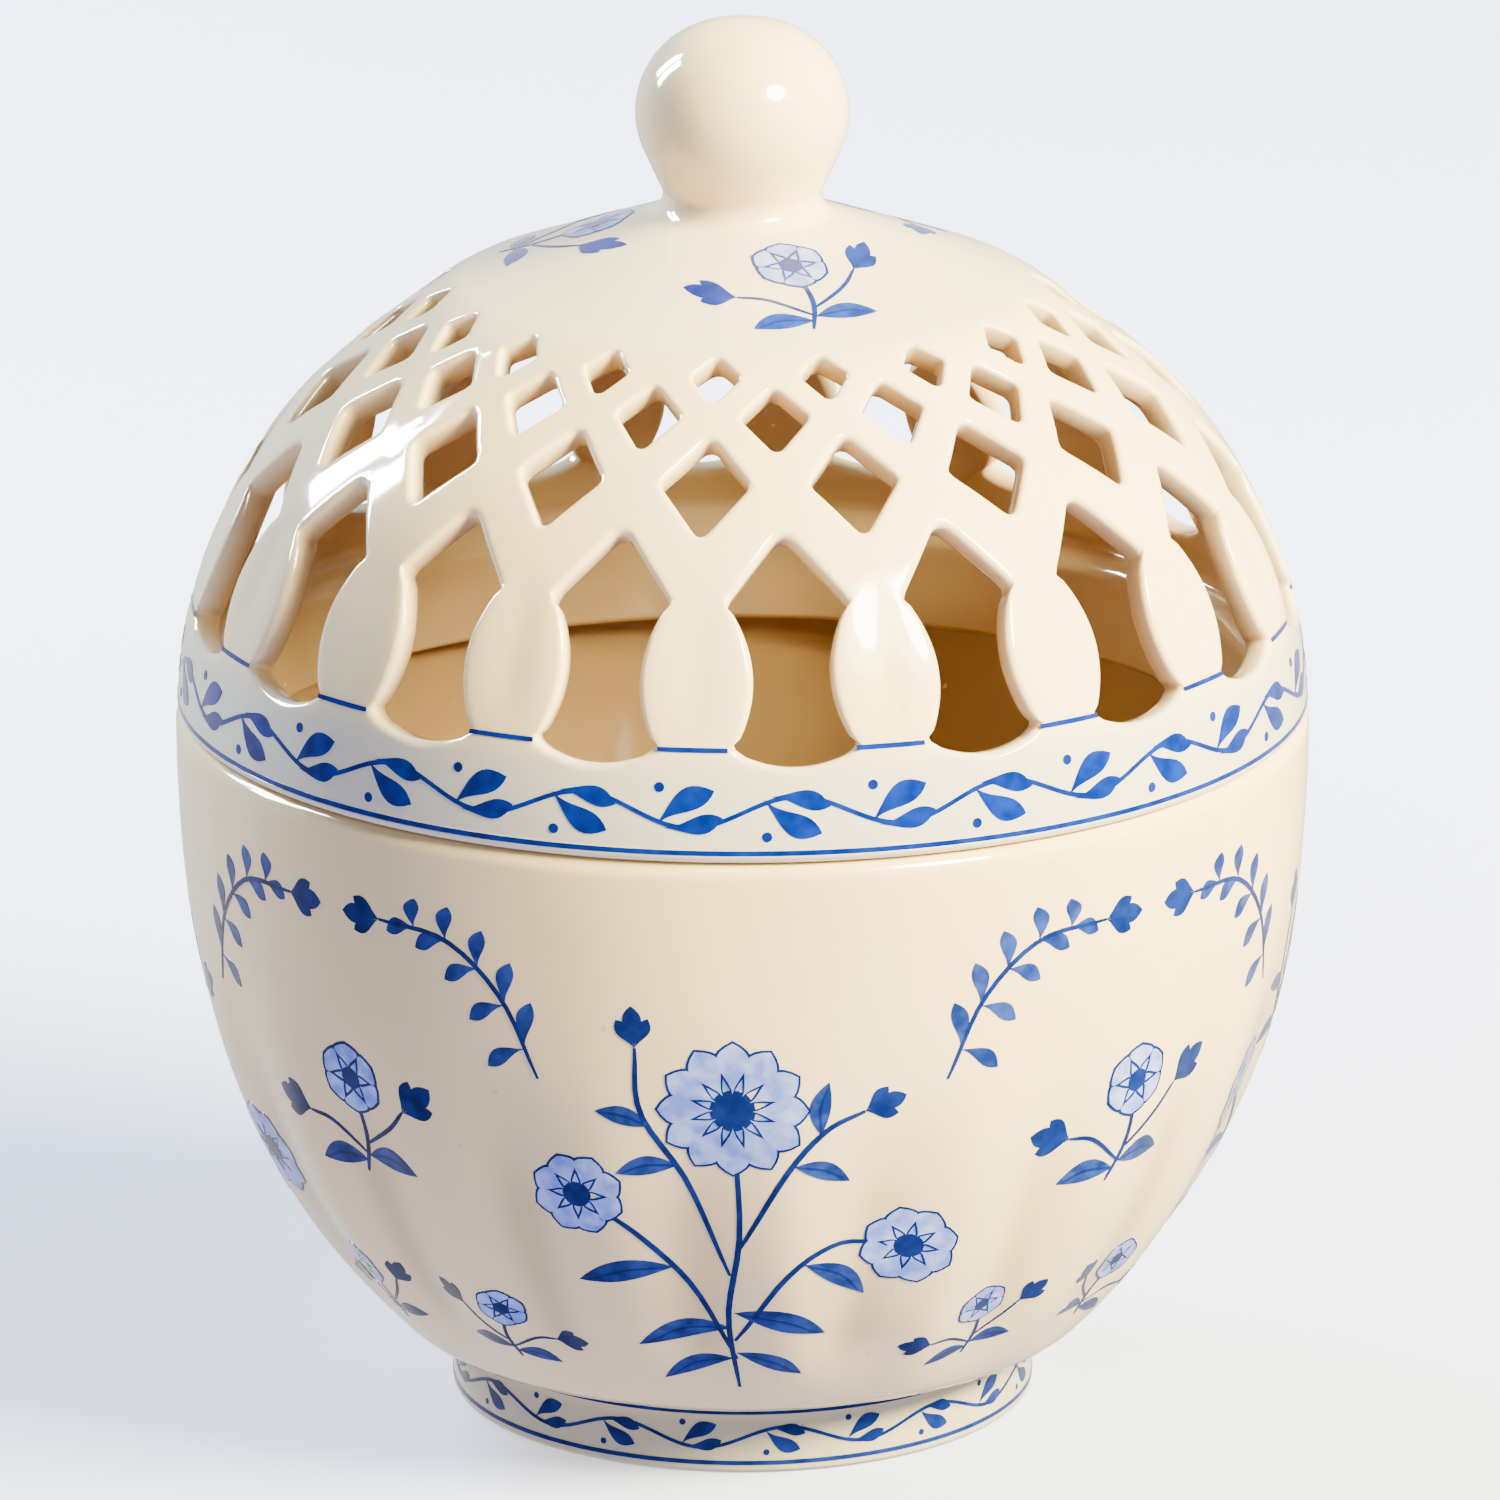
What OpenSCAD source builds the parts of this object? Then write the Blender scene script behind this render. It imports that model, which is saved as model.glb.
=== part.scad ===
// Potpourri vase in glazed ceramic: a round bowl on a foot ring, and a lift-off
// dome lid that is pierced with a lattice and carries a ball knob.
// Millimetres, +Z up. The foot rests on z = 0 and the front faces -Y.

/* [Bowl] */
// Outer radius of the bowl at its widest ring
bowl_r = 63.4; // [58:0.1:70]
// Height of the rim above the table
bowl_h = 80.5; // [76:0.1:90]
// Thickness of the bowl's wall
bowl_wall = 3.1; // [2.4:0.1:4]
// Rounding of the shoulder outside the rim
shoulder_r = 1.9; // [1:0.1:2.2]
// Radius of the gentle arc down the upper side
side_sweep = 190; // [150:1:260]
// Height at which the upper side passes into the belly
belly_z = 55.3; // [48:0.1:62]
// Radius of the belly's arc
belly_sweep = 75.7; // [68:0.1:86]

/* [Foot] */
// Outer radius of the foot ring
foot_r = 32.9; // [28:0.1:36]
// Height of the waist between the foot ring and the belly
foot_h = 8; // [6:0.1:9]
// Radius of the hollow inside the foot ring
foot_bore_r = 27; // [22:0.1:30]
// Height of the hollow under the base
foot_hollow = 6.5; // [3:0.1:8]
// Thickness of the floor over that hollow
floor_t = 5.5; // [4.5:0.1:7]
// Rounding of the foot ring's lower outer edge, cut as a bevel
foot_edge = 0.7; // [0.3:0.1:1.2]

/* [Lid] */
// Setback of the lid's lower edge from the bowl's widest ring
lid_inset = 0.2; // [0:0.05:1]
// Rounding of the lid's lower edge
lid_edge = 0.8; // [0.4:0.1:1.2]
// Thickness of the lid's wall
lid_wall = 3.1; // [2.4:0.1:4]
// Radius of the dome's lower arc
dome_sweep = 52.85; // [48:0.05:58]
// Depth of that arc's centre below the lid's edge
dome_drop = 1.3; // [0:0.1:3]
// Angle from the vertical at which the lower arc passes into the upper slope
slope_angle = 41; // [36:0.1:44]
// How much flatter the straight slope is than the arc's end
slope_ease = 3.6; // [0:0.1:6]
// Radius of the cap's shoulder
cap_r = 33.1; // [31:0.1:36]
// Slope of the cap inside its shoulder
cap_angle = 20; // [14:0.1:24]
// Depth of the locating flange below the lid's edge
flange_h = 7.7; // [4:0.1:12]
// Thickness of the locating flange
flange_t = 2.7; // [2:0.1:4]
// Height of the ledge at the flange, above the lid's edge
ledge_h = 2.6; // [1.5:0.1:4]
// Height at which the ledge has run out into the wall, above the lid's edge
ledge_top = 5.2; // [4.2:0.1:7]
// Radial gap between the flange and the bowl's mouth
fit_gap = 0.6; // [0.3:0.05:1]

/* [Lattice] */
// Number of posts around the lid
post_count = 18; // [12:1:18]
// Turn of the first post from the front, to the right
lattice_turn = -5; // [-10:0.5:10]
// Height of the plain band below the arches
band_h = 10.4; // [8:0.1:13]
// Half width of the smallest openings, next to the cap
small_w = 2.7; // [1.8:0.05:2.9]
// Half width of the middle openings
middle_w = 3.7; // [2.6:0.05:3.9]
// Half width of the largest diamond openings
large_w = 5; // [3.6:0.05:5.2]
// Half width of an arch at the necks of its posts
arch_neck_w = 6.4; // [5:0.05:6.6]
// Half width of an arch at the bellies of its posts
arch_belly_w = 4.35; // [3.4:0.05:5]
// Half width of an arch at its foot
arch_foot_w = 6.6; // [5:0.05:6.8]
// Rounding of the openings' corners
corner_r = 0.9; // [0.5:0.05:1.1]

/* [Knob] */
// Radius of the knob's foot, where it is luted to the cap
knob_foot_r = 9.2; // [8.8:0.1:10.5]
// Radius of the knob's neck
neck_r = 8.6; // [7.5:0.1:9]
// Height of the neck above the cap
neck_h = 1.6; // [1:0.1:2.5]
// Radius of the ball's side arc
ball_side = 10.2; // [9.6:0.05:11]
// Radius of the ball's flatter crown
ball_crown = 16; // [13:0.1:20]
// Angle from the vertical at which the crown passes into the side
crown_angle = 16.7; // [12:0.1:22]
// Height of the ball's middle above the cap
ball_h = 11; // [10.4:0.1:14]
// Angle below the ball's middle at which it tapers to the neck
taper_angle = 24.5; // [16:0.5:28]

/* [Hidden] */
$fn = 128;
sector_over = 1.2;
ivory = [0.94, 0.91, 0.85];

// Bowl: the side arc is upright at the shoulder, and the belly arc is tangent to it
widest_z = bowl_h - shoulder_r;
side_c = [bowl_r - side_sweep, widest_z];
side_angle = asin((widest_z - belly_z) / side_sweep);
belly_c = side_c + (side_sweep - belly_sweep) * [cos(side_angle), -sin(side_angle)];
floor_z = foot_hollow + floor_t;
belly_low = asin((floor_z - belly_c[1]) / (belly_sweep - bowl_wall));
belly_out = on_circle(belly_c, belly_sweep, belly_low);
belly_in = on_circle(belly_c, belly_sweep - bowl_wall, belly_low);

// Lid: elevations are angles above the horizontal, seen from the dome arc's centre
lid_z = bowl_h;
lid_r = bowl_r - lid_inset;
edge_el = asin(dome_drop / dome_sweep);
dome_c = [lid_r - dome_sweep * cos(edge_el), lid_z - dome_drop];
slope_el = 90 - slope_angle;
slope_edge = on_circle(dome_c, dome_sweep, slope_el);
cap_edge = [cap_r, slope_edge[1] + (slope_edge[0] - cap_r) * tan(slope_angle - slope_ease)];
cap_z = cap_edge[1] + (cap_r - knob_foot_r) * tan(cap_angle);
cap_under = cap_z - lid_wall / cos(cap_angle);
under_edge = [cap_r - lid_wall * sin(slope_angle), cap_edge[1] - lid_wall * cos(slope_angle)];
flange_out = bowl_r - bowl_wall - fit_gap;
flange_in = flange_out - flange_t;
ledge_el = asin((ledge_top + dome_drop) / (dome_sweep - lid_wall));
edge_top_el = asin((lid_edge + dome_drop) / (dome_sweep - lid_edge));
edge_c = on_circle(dome_c, dome_sweep - lid_edge, edge_top_el);
arc_steps = 10;
edge_steps = 3;

// Lattice: levels are shares of the height between the plain band and the cap's shoulder,
// and the cuts run past both faces of the wall
pitch = 360 / post_count;
lattice_low = lid_z + band_h;
lattice_high = cap_edge[1];
small_levels = [1.01, 0.965, 0.905];
middle_levels = [0.945, 0.876, 0.795];
large_levels = [0.835, 0.726, 0.595];
arch_levels = [0.62, 0.44, 0.245, 0.046, 0];
pierce_over = 4;
corner_steps = 2;
bow_steps = 4;

// Knob: the crown and the side are tangent arcs, and the taper is tangent to the side
knob_z = cap_z;
ball_c = [(ball_crown - ball_side) * sin(crown_angle), knob_z + ball_h];
crown_c = [0, ball_c[1] - (ball_crown - ball_side) * cos(crown_angle)];
taper_top = on_circle(ball_c, ball_side, -taper_angle);
right_half = 4 * ball_side;

function on_circle(c, r, a) = c + r * [cos(a), sin(a)];

// Points of an arc about c
function arc(c, r, a0, a1, steps) =
    [for (i = [0 : steps]) on_circle(c, r, a0 + (a1 - a0) * i / steps)];

// Points between p and q on a curve that bows to the left by the given height
function bowed(p, q, bow) =
    let (chord = q - p, side = [-chord[1], chord[0]] / norm(chord))
    [for (i = [1 : bow_steps - 1])
        let (t = i / bow_steps) p + chord * t + side * bow * 4 * t * (1 - t)];

// Points that replace the corner p, between a and b, by a fillet
function fillet(a, p, b) =
    let (u = (a - p) / norm(a - p), w = (b - p) / norm(b - p), half = acos(u * w) / 2,
         c = p + (u + w) / norm(u + w) * corner_r / sin(half),
         from = p + u * corner_r / tan(half) - c, to = p + w * corner_r / tan(half) - c)
    [for (i = [0 : corner_steps])
        let (m = from * (corner_steps - i) + to * i) c + m / norm(m) * corner_r];

// Outline whose listed corners are filleted
function soften(pts, corners) =
    let (n = len(pts))
    [for (i = [0 : n - 1])
        each len(search(i, corners)) == 0 ? [pts[i]]
            : fillet(pts[(i + n - 1) % n], pts[i], pts[(i + 1) % n])];

// Point of the dome's outer profile at a share of the lattice's height
function dome_point(share) =
    let (z = lattice_low + (lattice_high - lattice_low) * share)
    z > cap_edge[1] ? [cap_r - (z - cap_edge[1]) / tan(cap_angle), z]
    : z > slope_edge[1] ? [slope_edge[0] - (z - slope_edge[1]) / tan(slope_angle - slope_ease), z]
    : [dome_c[0] + sqrt(dome_sweep ^ 2 - (z - dome_c[1]) ^ 2), z];

// Row of openings: middle of its cut on the profile, lean of the cut, and a level's height in it
function row_mid(levels) = (dome_point(levels[0]) + dome_point(levels[len(levels) - 1])) / 2;
function row_chord(levels) = dome_point(levels[0]) - dome_point(levels[len(levels) - 1]);
function row_lean(levels) = atan2(-row_chord(levels)[0], row_chord(levels)[1]);
function row_y(levels, i) =
    (dome_point(levels[i]) - row_mid(levels)) * row_chord(levels) / norm(row_chord(levels));

// Diamond opening with rounded corners
function diamond(levels, half_w) =
    soften([[0, row_y(levels, 0)], [-half_w, row_y(levels, 1)],
            [0, row_y(levels, 2)], [half_w, row_y(levels, 1)]], [0, 1, 2, 3]);

// Arch between two posts: a pointed top, sides that follow the posts' bellies, a scalloped foot
function arch(levels) =
    let (neck = [arch_neck_w, row_y(levels, 1)], foot = [arch_foot_w, row_y(levels, 3)],
         mirrored = [-1, 1], left_neck = [for (i = [0, 1]) neck[i] * mirrored[i]],
         left_foot = [for (i = [0, 1]) foot[i] * mirrored[i]],
         bow = (arch_neck_w + arch_foot_w) / 2 - arch_belly_w,
         scallop = foot[1] - row_y(levels, 4),
         pts = concat([[0, row_y(levels, 0)], left_neck], bowed(left_neck, left_foot, bow),
                      [left_foot], bowed(left_foot, foot, -scallop),
                      [foot], bowed(foot, neck, bow), [neck]))
    soften(pts, [0, 1, 1 + bow_steps, 1 + 2 * bow_steps, 1 + 3 * bow_steps]);

// Sector of a ring of the given thickness, inside radius r
module ring_sector(c, r, thick, a0, a1) {
    reach = sector_over * r / cos((a1 - a0) / 2);
    intersection() {
        translate(c) difference() {
            circle(r);
            circle(r - thick);
        }
        polygon([c, on_circle(c, reach, a0), on_circle(c, reach, a1)]);
    }
}

// Sector of a full disc
module pie(c, r, a0, a1) {
    reach = sector_over * r / cos((a1 - a0) / 2);
    intersection() {
        translate(c) circle(r);
        polygon([c, on_circle(c, reach, a0), on_circle(c, reach, a1)]);
    }
}

// Half section of the bowl's wall, floor and foot ring
module bowl_section() {
    ring_sector(side_c, side_sweep, bowl_wall, -side_angle, 0);
    ring_sector(belly_c, belly_sweep, bowl_wall, belly_low, -side_angle);
    pie([bowl_r - shoulder_r, widest_z], shoulder_r, 0, 90);
    translate([bowl_r - bowl_wall, widest_z]) square([bowl_wall - shoulder_r, shoulder_r]);
    polygon([
        [0, foot_hollow], [foot_bore_r, foot_hollow], [foot_bore_r, 0], [foot_r - foot_edge, 0],
        [foot_r, foot_edge], [foot_r, foot_h], belly_out, belly_in, [0, floor_z]
    ]);
}

module bowl() {
    color(ivory) rotate_extrude() bowl_section();
}

// Half section of the lid before it is pierced
module lid_section() {
    polygon(concat(
        [[flange_in, lid_z - flange_h], [flange_out, lid_z - flange_h], [flange_out, lid_z]],
        [for (i = [0 : edge_steps - 1])
            on_circle(edge_c, lid_edge, -90 + (edge_top_el + 90) * i / edge_steps)],
        arc(dome_c, dome_sweep, edge_top_el, slope_el, arc_steps),
        [cap_edge, [knob_foot_r, cap_z], [0, cap_z], [0, cap_under], [knob_foot_r, cap_under],
         under_edge],
        arc(dome_c, dome_sweep - lid_wall, slope_el, ledge_el, arc_steps),
        [[flange_in, lid_z + ledge_h]]));
}

// Ring of equal openings, cut square to the wall
module pierced_row(levels, turn, outline) {
    mid = row_mid(levels);
    for (k = [0 : post_count - 1])
        rotate([0, 0, turn + k * pitch - 90]) translate([mid[0], 0, mid[1]])
            rotate([90, 0, 90]) rotate([-row_lean(levels), 0, 0]) translate([0, 0, -lid_wall - pierce_over])
                linear_extrude(lid_wall + 2 * pierce_over) polygon(outline);
}

module lid() {
    between = lattice_turn + pitch / 2;
    color(ivory) difference() {
        rotate_extrude() lid_section();
        pierced_row(small_levels, lattice_turn, diamond(small_levels, small_w));
        pierced_row(middle_levels, between, diamond(middle_levels, middle_w));
        pierced_row(large_levels, lattice_turn, diamond(large_levels, large_w));
        pierced_row(arch_levels, between, arch(arch_levels));
    }
}

// Half section of the ball knob
module knob_section() {
    pie(crown_c, ball_crown, 90 - crown_angle, 90);
    intersection() {
        translate(ball_c) circle(ball_side);
        translate([0, knob_z]) square(right_half);
    }
    polygon([
        [0, knob_z], [knob_foot_r, knob_z], [neck_r, knob_z + neck_h], taper_top, [0, ball_c[1]]
    ]);
}

module knob() {
    color(ivory) rotate_extrude() knob_section();
}

bowl();
lid();
knob();
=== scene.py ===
"""Looks of a glazed ceramic potpourri vase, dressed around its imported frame.

Sizes are in millimetres and angles in degrees. Angle 0 faces the front, which is -Y, and grows
towards +X. A walk is a length along a turned wall from its lower end. Meshes are built in
millimetres and brought to metres when they become objects.
"""
import logging
import math
import random
from bisect import bisect_left
from dataclasses import dataclass, field, replace
from enum import Enum
from typing import Callable, Iterable, Sequence

import bmesh
import bpy
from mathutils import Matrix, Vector


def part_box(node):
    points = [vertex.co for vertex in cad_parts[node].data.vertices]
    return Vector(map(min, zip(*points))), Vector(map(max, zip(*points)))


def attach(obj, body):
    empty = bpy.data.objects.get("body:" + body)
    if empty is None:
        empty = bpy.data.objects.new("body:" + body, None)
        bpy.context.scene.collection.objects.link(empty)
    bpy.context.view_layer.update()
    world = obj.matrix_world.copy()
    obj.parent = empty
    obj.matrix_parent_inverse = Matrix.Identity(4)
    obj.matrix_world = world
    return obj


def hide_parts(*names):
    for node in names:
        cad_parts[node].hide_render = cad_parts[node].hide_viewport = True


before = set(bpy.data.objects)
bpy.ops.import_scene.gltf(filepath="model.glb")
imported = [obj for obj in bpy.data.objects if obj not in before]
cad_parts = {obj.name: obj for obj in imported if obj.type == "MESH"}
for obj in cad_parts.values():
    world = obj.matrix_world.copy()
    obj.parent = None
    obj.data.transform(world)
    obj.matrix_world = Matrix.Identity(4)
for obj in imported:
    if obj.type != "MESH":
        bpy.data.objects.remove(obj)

Mesh = bmesh.types.BMesh
Material = bpy.types.Material
Piece = bpy.types.Object
Socket = bpy.types.NodeSocket
Inputs = dict[str | int, object]
Point = tuple[float, float]
Colour = tuple[float, float, float]
Spoke = tuple[Point, Point]
Ring = tuple[float, float, float]
Fillet = tuple[Vector, float, float, Vector, Vector]

LOG = logging.getLogger("potpourri_vase")
MM = 0.001
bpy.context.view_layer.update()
# Vertex marks for the glaze: inner faces, painted shade; the band's ground, painted shade on the cap and
# foot; flute valleys, pooled glaze and painted shade.
INSIDE, BAND, POOL_AND_SHADE = "inside", "band", "pool_and_shade"
WELD, LATTICE_WELD = 1e-4, 2e-3
BLACK, WHITE = (0.0, 0.0, 0.0), (1.0, 1.0, 1.0)
FULL_TURN = 360.0


class Body(Enum):
    """Bodies of the frame that pieces ride on."""

    BOWL = "bowl"
    LID = "lid"


class Row(Enum):
    """Rows of the lattice, from the cap downwards: name, and turn in shares of half a pitch."""

    SMALL = ("small", 0.0)
    MIDDLE = ("middle", 1.0)
    LARGE = ("large", 0.0)
    ARCH = ("arch", 1.0)


class Ink(Enum):
    """Inks of the print: the material's index, and the height of the film above the glaze."""

    LINE = (0, 0.06)
    LEAF = (1, 0.052)
    WASH = (2, 0.044)
    FILL = (2, 0.072)
    EYE = (0, 0.07)


class Lamp(Enum):
    """What a soft box does: it lights the ware, or it is only seen in the glaze."""

    LIGHT = "light"
    SHINE = "shine"


class Form(Enum):
    """Outlines of soft boxes, by Blender's names."""

    PANEL = "RECTANGLE"
    ROUND = "ELLIPSE"


def smoothstep(low: float, high: float, value: float) -> float:
    """Eases from 0 at low to 1 at high, which may be the smaller one."""
    t = min(max((value - low) / (high - low), 0.0), 1.0)
    return t * t * (3.0 - 2.0 * t)


def mirror(point: Point) -> Point:
    """Point on the other side of an upright axis."""
    return (-point[0], point[1])


def blend(a: Point, b: Point, t: float) -> Point:
    """Point between a and b at the share t."""
    return (a[0] + (b[0] - a[0]) * t, a[1] + (b[1] - a[1]) * t)


def beside(a: Point, b: Point, t: float, off: float) -> Point:
    """Point beside the way from a to b.

    Args:
        a: Start of the way.
        b: Its end.
        t: Share of the way.
        off: Distance from the way to its left.

    Returns:
        The point.
    """
    dx, dy = b[0] - a[0], b[1] - a[1]
    length = math.hypot(dx, dy)
    return (a[0] + dx * t - dy / length * off, a[1] + dy * t + dx / length * off)


def on_circle(centre: Point, radius: float, angle: float) -> Point:
    """Point of a circle, at an angle from its right side, anticlockwise."""
    turn = math.radians(angle)
    return (centre[0] + radius * math.cos(turn), centre[1] + radius * math.sin(turn))


def arc(centre: Point, radius: float, start: float, end: float, steps: int) -> list[Point]:
    """Points of an arc in steps, from the angle start to the angle end, both included."""
    return [on_circle(centre, radius, start + (end - start) * i / steps) for i in range(steps + 1)]


def curve(knots: Sequence[Point], t: float) -> Point:
    """Point of a smooth curve through knots.

    Args:
        knots: Points that the curve passes through, in order.
        t: Share of the way, from 0 to 1.

    Returns:
        The point of the Catmull-Rom curve.
    """
    spans = len(knots) - 1
    i = min(int(t * spans), spans - 1)
    u = t * spans - i
    before = knots[i - 1] if i else blend(knots[1], knots[0], 2.0)
    after = knots[i + 2] if i + 2 <= spans else blend(knots[spans - 1], knots[spans], 2.0)
    weights = (
        -0.5 * u + u * u - 0.5 * u ** 3,
        1.0 - 2.5 * u * u + 1.5 * u ** 3,
        0.5 * u + 2.0 * u * u - 1.5 * u ** 3,
        -0.5 * u * u + 0.5 * u ** 3,
    )
    four = (before, knots[i], knots[i + 1], after)
    return tuple(sum(w * p[k] for w, p in zip(weights, four)) for k in (0, 1))


def trace(knots: Sequence[Point], first: int, last: int, steps: int) -> list[Point]:
    """Points of a curve that is walked in steps, from the step first to the step last."""
    return [curve(knots, k / steps) for k in range(first, last + 1)]


def around(angle: float, radius: float, height: float) -> Vector:
    """Point at an angle from the front, a radius and a height."""
    turn = math.radians(angle)
    return Vector((radius * math.sin(turn), -radius * math.cos(turn), height))


def angle_of(point: Vector) -> float:
    """Angle of a point from the front."""
    return math.degrees(math.atan2(point.x, -point.y))


class Outline:
    """Outer line of a turned wall, walked by its length from the lower end."""

    def __init__(self, points: Iterable[Point]) -> None:
        """Measures the line and its outward normals.

        Args:
            points: Radius and height along the wall, going up.
        """
        self.points = [Vector(p) for p in points]
        chords = [b - a for a, b in zip(self.points, self.points[1:])]
        self.marks = [0.0]
        for chord in chords:
            self.marks.append(self.marks[-1] + chord.length)
        sides = [Vector((c.y, -c.x)).normalized() for c in chords]
        self.normals = [(a + b).normalized() for a, b in zip(sides[:1] + sides, sides + sides[-1:])]

    @property
    def length(self) -> float:
        """Whole length of the line."""
        return self.marks[-1]

    def at(self, walked: float) -> tuple[Vector, Vector]:
        """Place on the line.

        Args:
            walked: Length from the lower end.

        Returns:
            The radius and height there, and the outward normal.
        """
        walked = min(max(walked, 0.0), self.length)
        i = max(bisect_left(self.marks, walked) - 1, 0)
        t = (walked - self.marks[i]) / (self.marks[i + 1] - self.marks[i])
        return self.points[i].lerp(self.points[i + 1], t), self.normals[i].lerp(self.normals[i + 1], t)

    def under(self, walked: float, depth: float) -> Point:
        """Radius and height at a depth below the line."""
        point, normal = self.at(walked)
        return (point.x - depth * normal.x, point.y - depth * normal.y)

    def walk_to(self, height: float) -> float:
        """Length walked when the line reaches a height.

        Args:
            height: The height.

        Returns:
            The length from the lower end.
        """
        i = next(k for k, p in enumerate(self.points) if p.y >= height)
        below, above = self.points[i - 1], self.points[i]
        return self.marks[i - 1] + (above - below).length * (height - below.y) / (above.y - below.y)


@dataclass
class Surface:
    """Outer face of a turned piece, with a relief that may change around it.

    Attributes:
        outline: The turned line.
        relief: Height of the relief at an angle and a height of the wall.
    """

    outline: Outline
    relief: Callable[[float, float], float] = lambda angle, height: 0.0

    def place(self, angle: float, walked: float, lift: float) -> Vector:
        """Point above the face.

        Args:
            angle: Angle from the front.
            walked: Length along the outline.
            lift: Distance outwards from the face.

        Returns:
            The point.
        """
        point, normal = self.outline.at(walked)
        out = lift + self.relief(angle, point.y)
        return around(angle, point.x + normal.x * out, point.y + normal.y * out)

    def radius(self, walked: float) -> float:
        """Radius of the turned line after a walk along it."""
        return self.outline.at(walked)[0].x


@dataclass
class Graph:
    """Node tree of a material or a world.

    Attributes:
        tree: The tree.
    """

    tree: bpy.types.NodeTree

    def feed(self, node: bpy.types.Node, inputs: Inputs) -> bpy.types.Node:
        """Sets inputs of a node.

        Args:
            node: The node.
            inputs: Values, or sockets to link, by the input's name or number.

        Returns:
            The node itself.
        """
        for key, value in inputs.items():
            if isinstance(value, Socket):
                self.tree.links.new(value, node.inputs[key])
            else:
                node.inputs[key].default_value = value
        return node

    def add(self, kind: str, **inputs: object) -> bpy.types.Node:
        """Adds a node of a kind, with inputs by name."""
        return self.feed(self.tree.nodes.new("ShaderNode" + kind), inputs)

    def noise(self, cells: float, octaves: float) -> Socket:
        """Noise with some cells in a metre, on the piece's own coordinates."""
        place = self.add("TexCoord").outputs["Object"]
        return self.add("TexNoise", Vector=place, Scale=cells, Detail=octaves).outputs["Fac"]

    def ramp(self, factor: Socket, stops: Sequence[tuple[float, Colour]]) -> Socket:
        """Colour ramp over a factor.

        Args:
            factor: Socket that drives the ramp.
            stops: Two places with their linear colours.

        Returns:
            The ramp's colour.
        """
        node = self.add("ValToRGB", Fac=factor)
        for element, (place, colour) in zip(node.color_ramp.elements, stops):
            element.position = place
            element.color = (*colour, 1.0)
        return node.outputs["Color"]

    def mix(self, factor: Socket, base: Socket, colour: Colour) -> Socket:
        """Mixes a colour over another.

        Args:
            factor: Share of the colour.
            base: Colour below.
            colour: Linear colour on top.

        Returns:
            The mixed colour.
        """
        node = self.add("Mix")
        node.data_type = "RGBA"
        ports = {port.identifier: port for port in (*node.inputs, *node.outputs)}
        ports["B_Color"].default_value = (*colour, 1.0)
        self.tree.links.new(factor, ports["Factor_Float"])
        self.tree.links.new(base, ports["A_Color"])
        return ports["Result_Color"]

    def marked(self, name: str) -> Socket:
        """Factor that a mesh attribute holds.

        Args:
            name: Name of the attribute.

        Returns:
            The factor.
        """
        node = self.add("Attribute")
        node.attribute_name = name
        return node.outputs["Fac"]

    def glossy(self, colour: Socket) -> Inputs:
        """Inputs of a shader with a glossy, slightly wavy glaze over a colour."""
        waves = self.add("Bump", Height=self.noise(60.0, 1.0), Strength=0.3, Distance=0.0009)
        return {"Base Color": colour, "Normal": waves.outputs["Normal"], "Roughness": 0.07, "IOR": 1.52}


@dataclass(frozen=True)
class Finish:
    """Base of the finishes.

    Attributes:
        name: Name of the material.
    """

    name: str

    def make(self) -> Material:
        """Makes the material.

        Returns:
            A material whose Principled shader has the finish's inputs.
        """
        material = bpy.data.materials.new(self.name)
        material.use_nodes = True
        graph = Graph(material.node_tree)
        graph.feed(graph.tree.nodes["Principled BSDF"], self.inputs(graph))
        return material

    def inputs(self, graph: Graph) -> Inputs:
        """Inputs of the shader, which each finish works out in the graph."""
        raise NotImplementedError


@dataclass(frozen=True)
class IvoryGlaze(Finish):
    """Glossy ivory glaze over a pale body that lets a little light through.

    Attributes:
        light: Colour of the thicker glaze.
        warm: Colour where the glaze thins.
        pool_and_shade: Colour in the flutes' valleys, glaze pooled there and darkened further as painted
            shade, where the POOL_AND_SHADE attribute is 1.
        band: Colour of the cooler, greyer ground of the lid's printed band, where the BAND attribute is 1;
            laid partly on the cap and on the bowl's foot, it is also painted shade.
        inner: Colour inside the bowl and the lid and on the openings' cut walls, darkened as painted
            shade, where the INSIDE attribute is 1.
        speck: Colour of rare iron specks.
        translucence: Share of light that goes through the body.
    """

    light: Colour = (0.86, 0.6, 0.22)
    warm: Colour = (0.85, 0.575, 0.2)
    pool_and_shade: Colour = (0.64, 0.43, 0.155)
    band: Colour = (0.63, 0.53, 0.28)
    inner: Colour = (0.54, 0.345, 0.14)
    speck: Colour = (0.7, 0.47, 0.2)
    translucence: float = 0.08

    def inputs(self, graph: Graph) -> Inputs:
        """Inputs of the shader: clouds of glaze, then the marked zones, which carry painted shade, then
        specks.

        Args:
            graph: Tree of the material.

        Returns:
            The inputs.
        """
        glaze = graph.ramp(graph.noise(28.0, 2.0), ((0.35, self.warm), (0.62, self.light)))
        # Pooled glaze with painted shade in the flutes, the band's ground with painted shade on the cap
        # and foot, and painted shade inside.
        for mark, colour in ((POOL_AND_SHADE, self.pool_and_shade), (BAND, self.band), (INSIDE, self.inner)):
            glaze = graph.mix(graph.marked(mark), glaze, colour)
        specks = graph.ramp(graph.noise(700.0, 0.0), ((0.87, BLACK), (0.9, WHITE)))
        return graph.glossy(graph.mix(specks, glaze, self.speck)) | {
            "Subsurface Weight": self.translucence,
            "Subsurface Radius": (1.0, 0.7, 0.4),
            "Subsurface Scale": 0.0025,
        }


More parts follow.
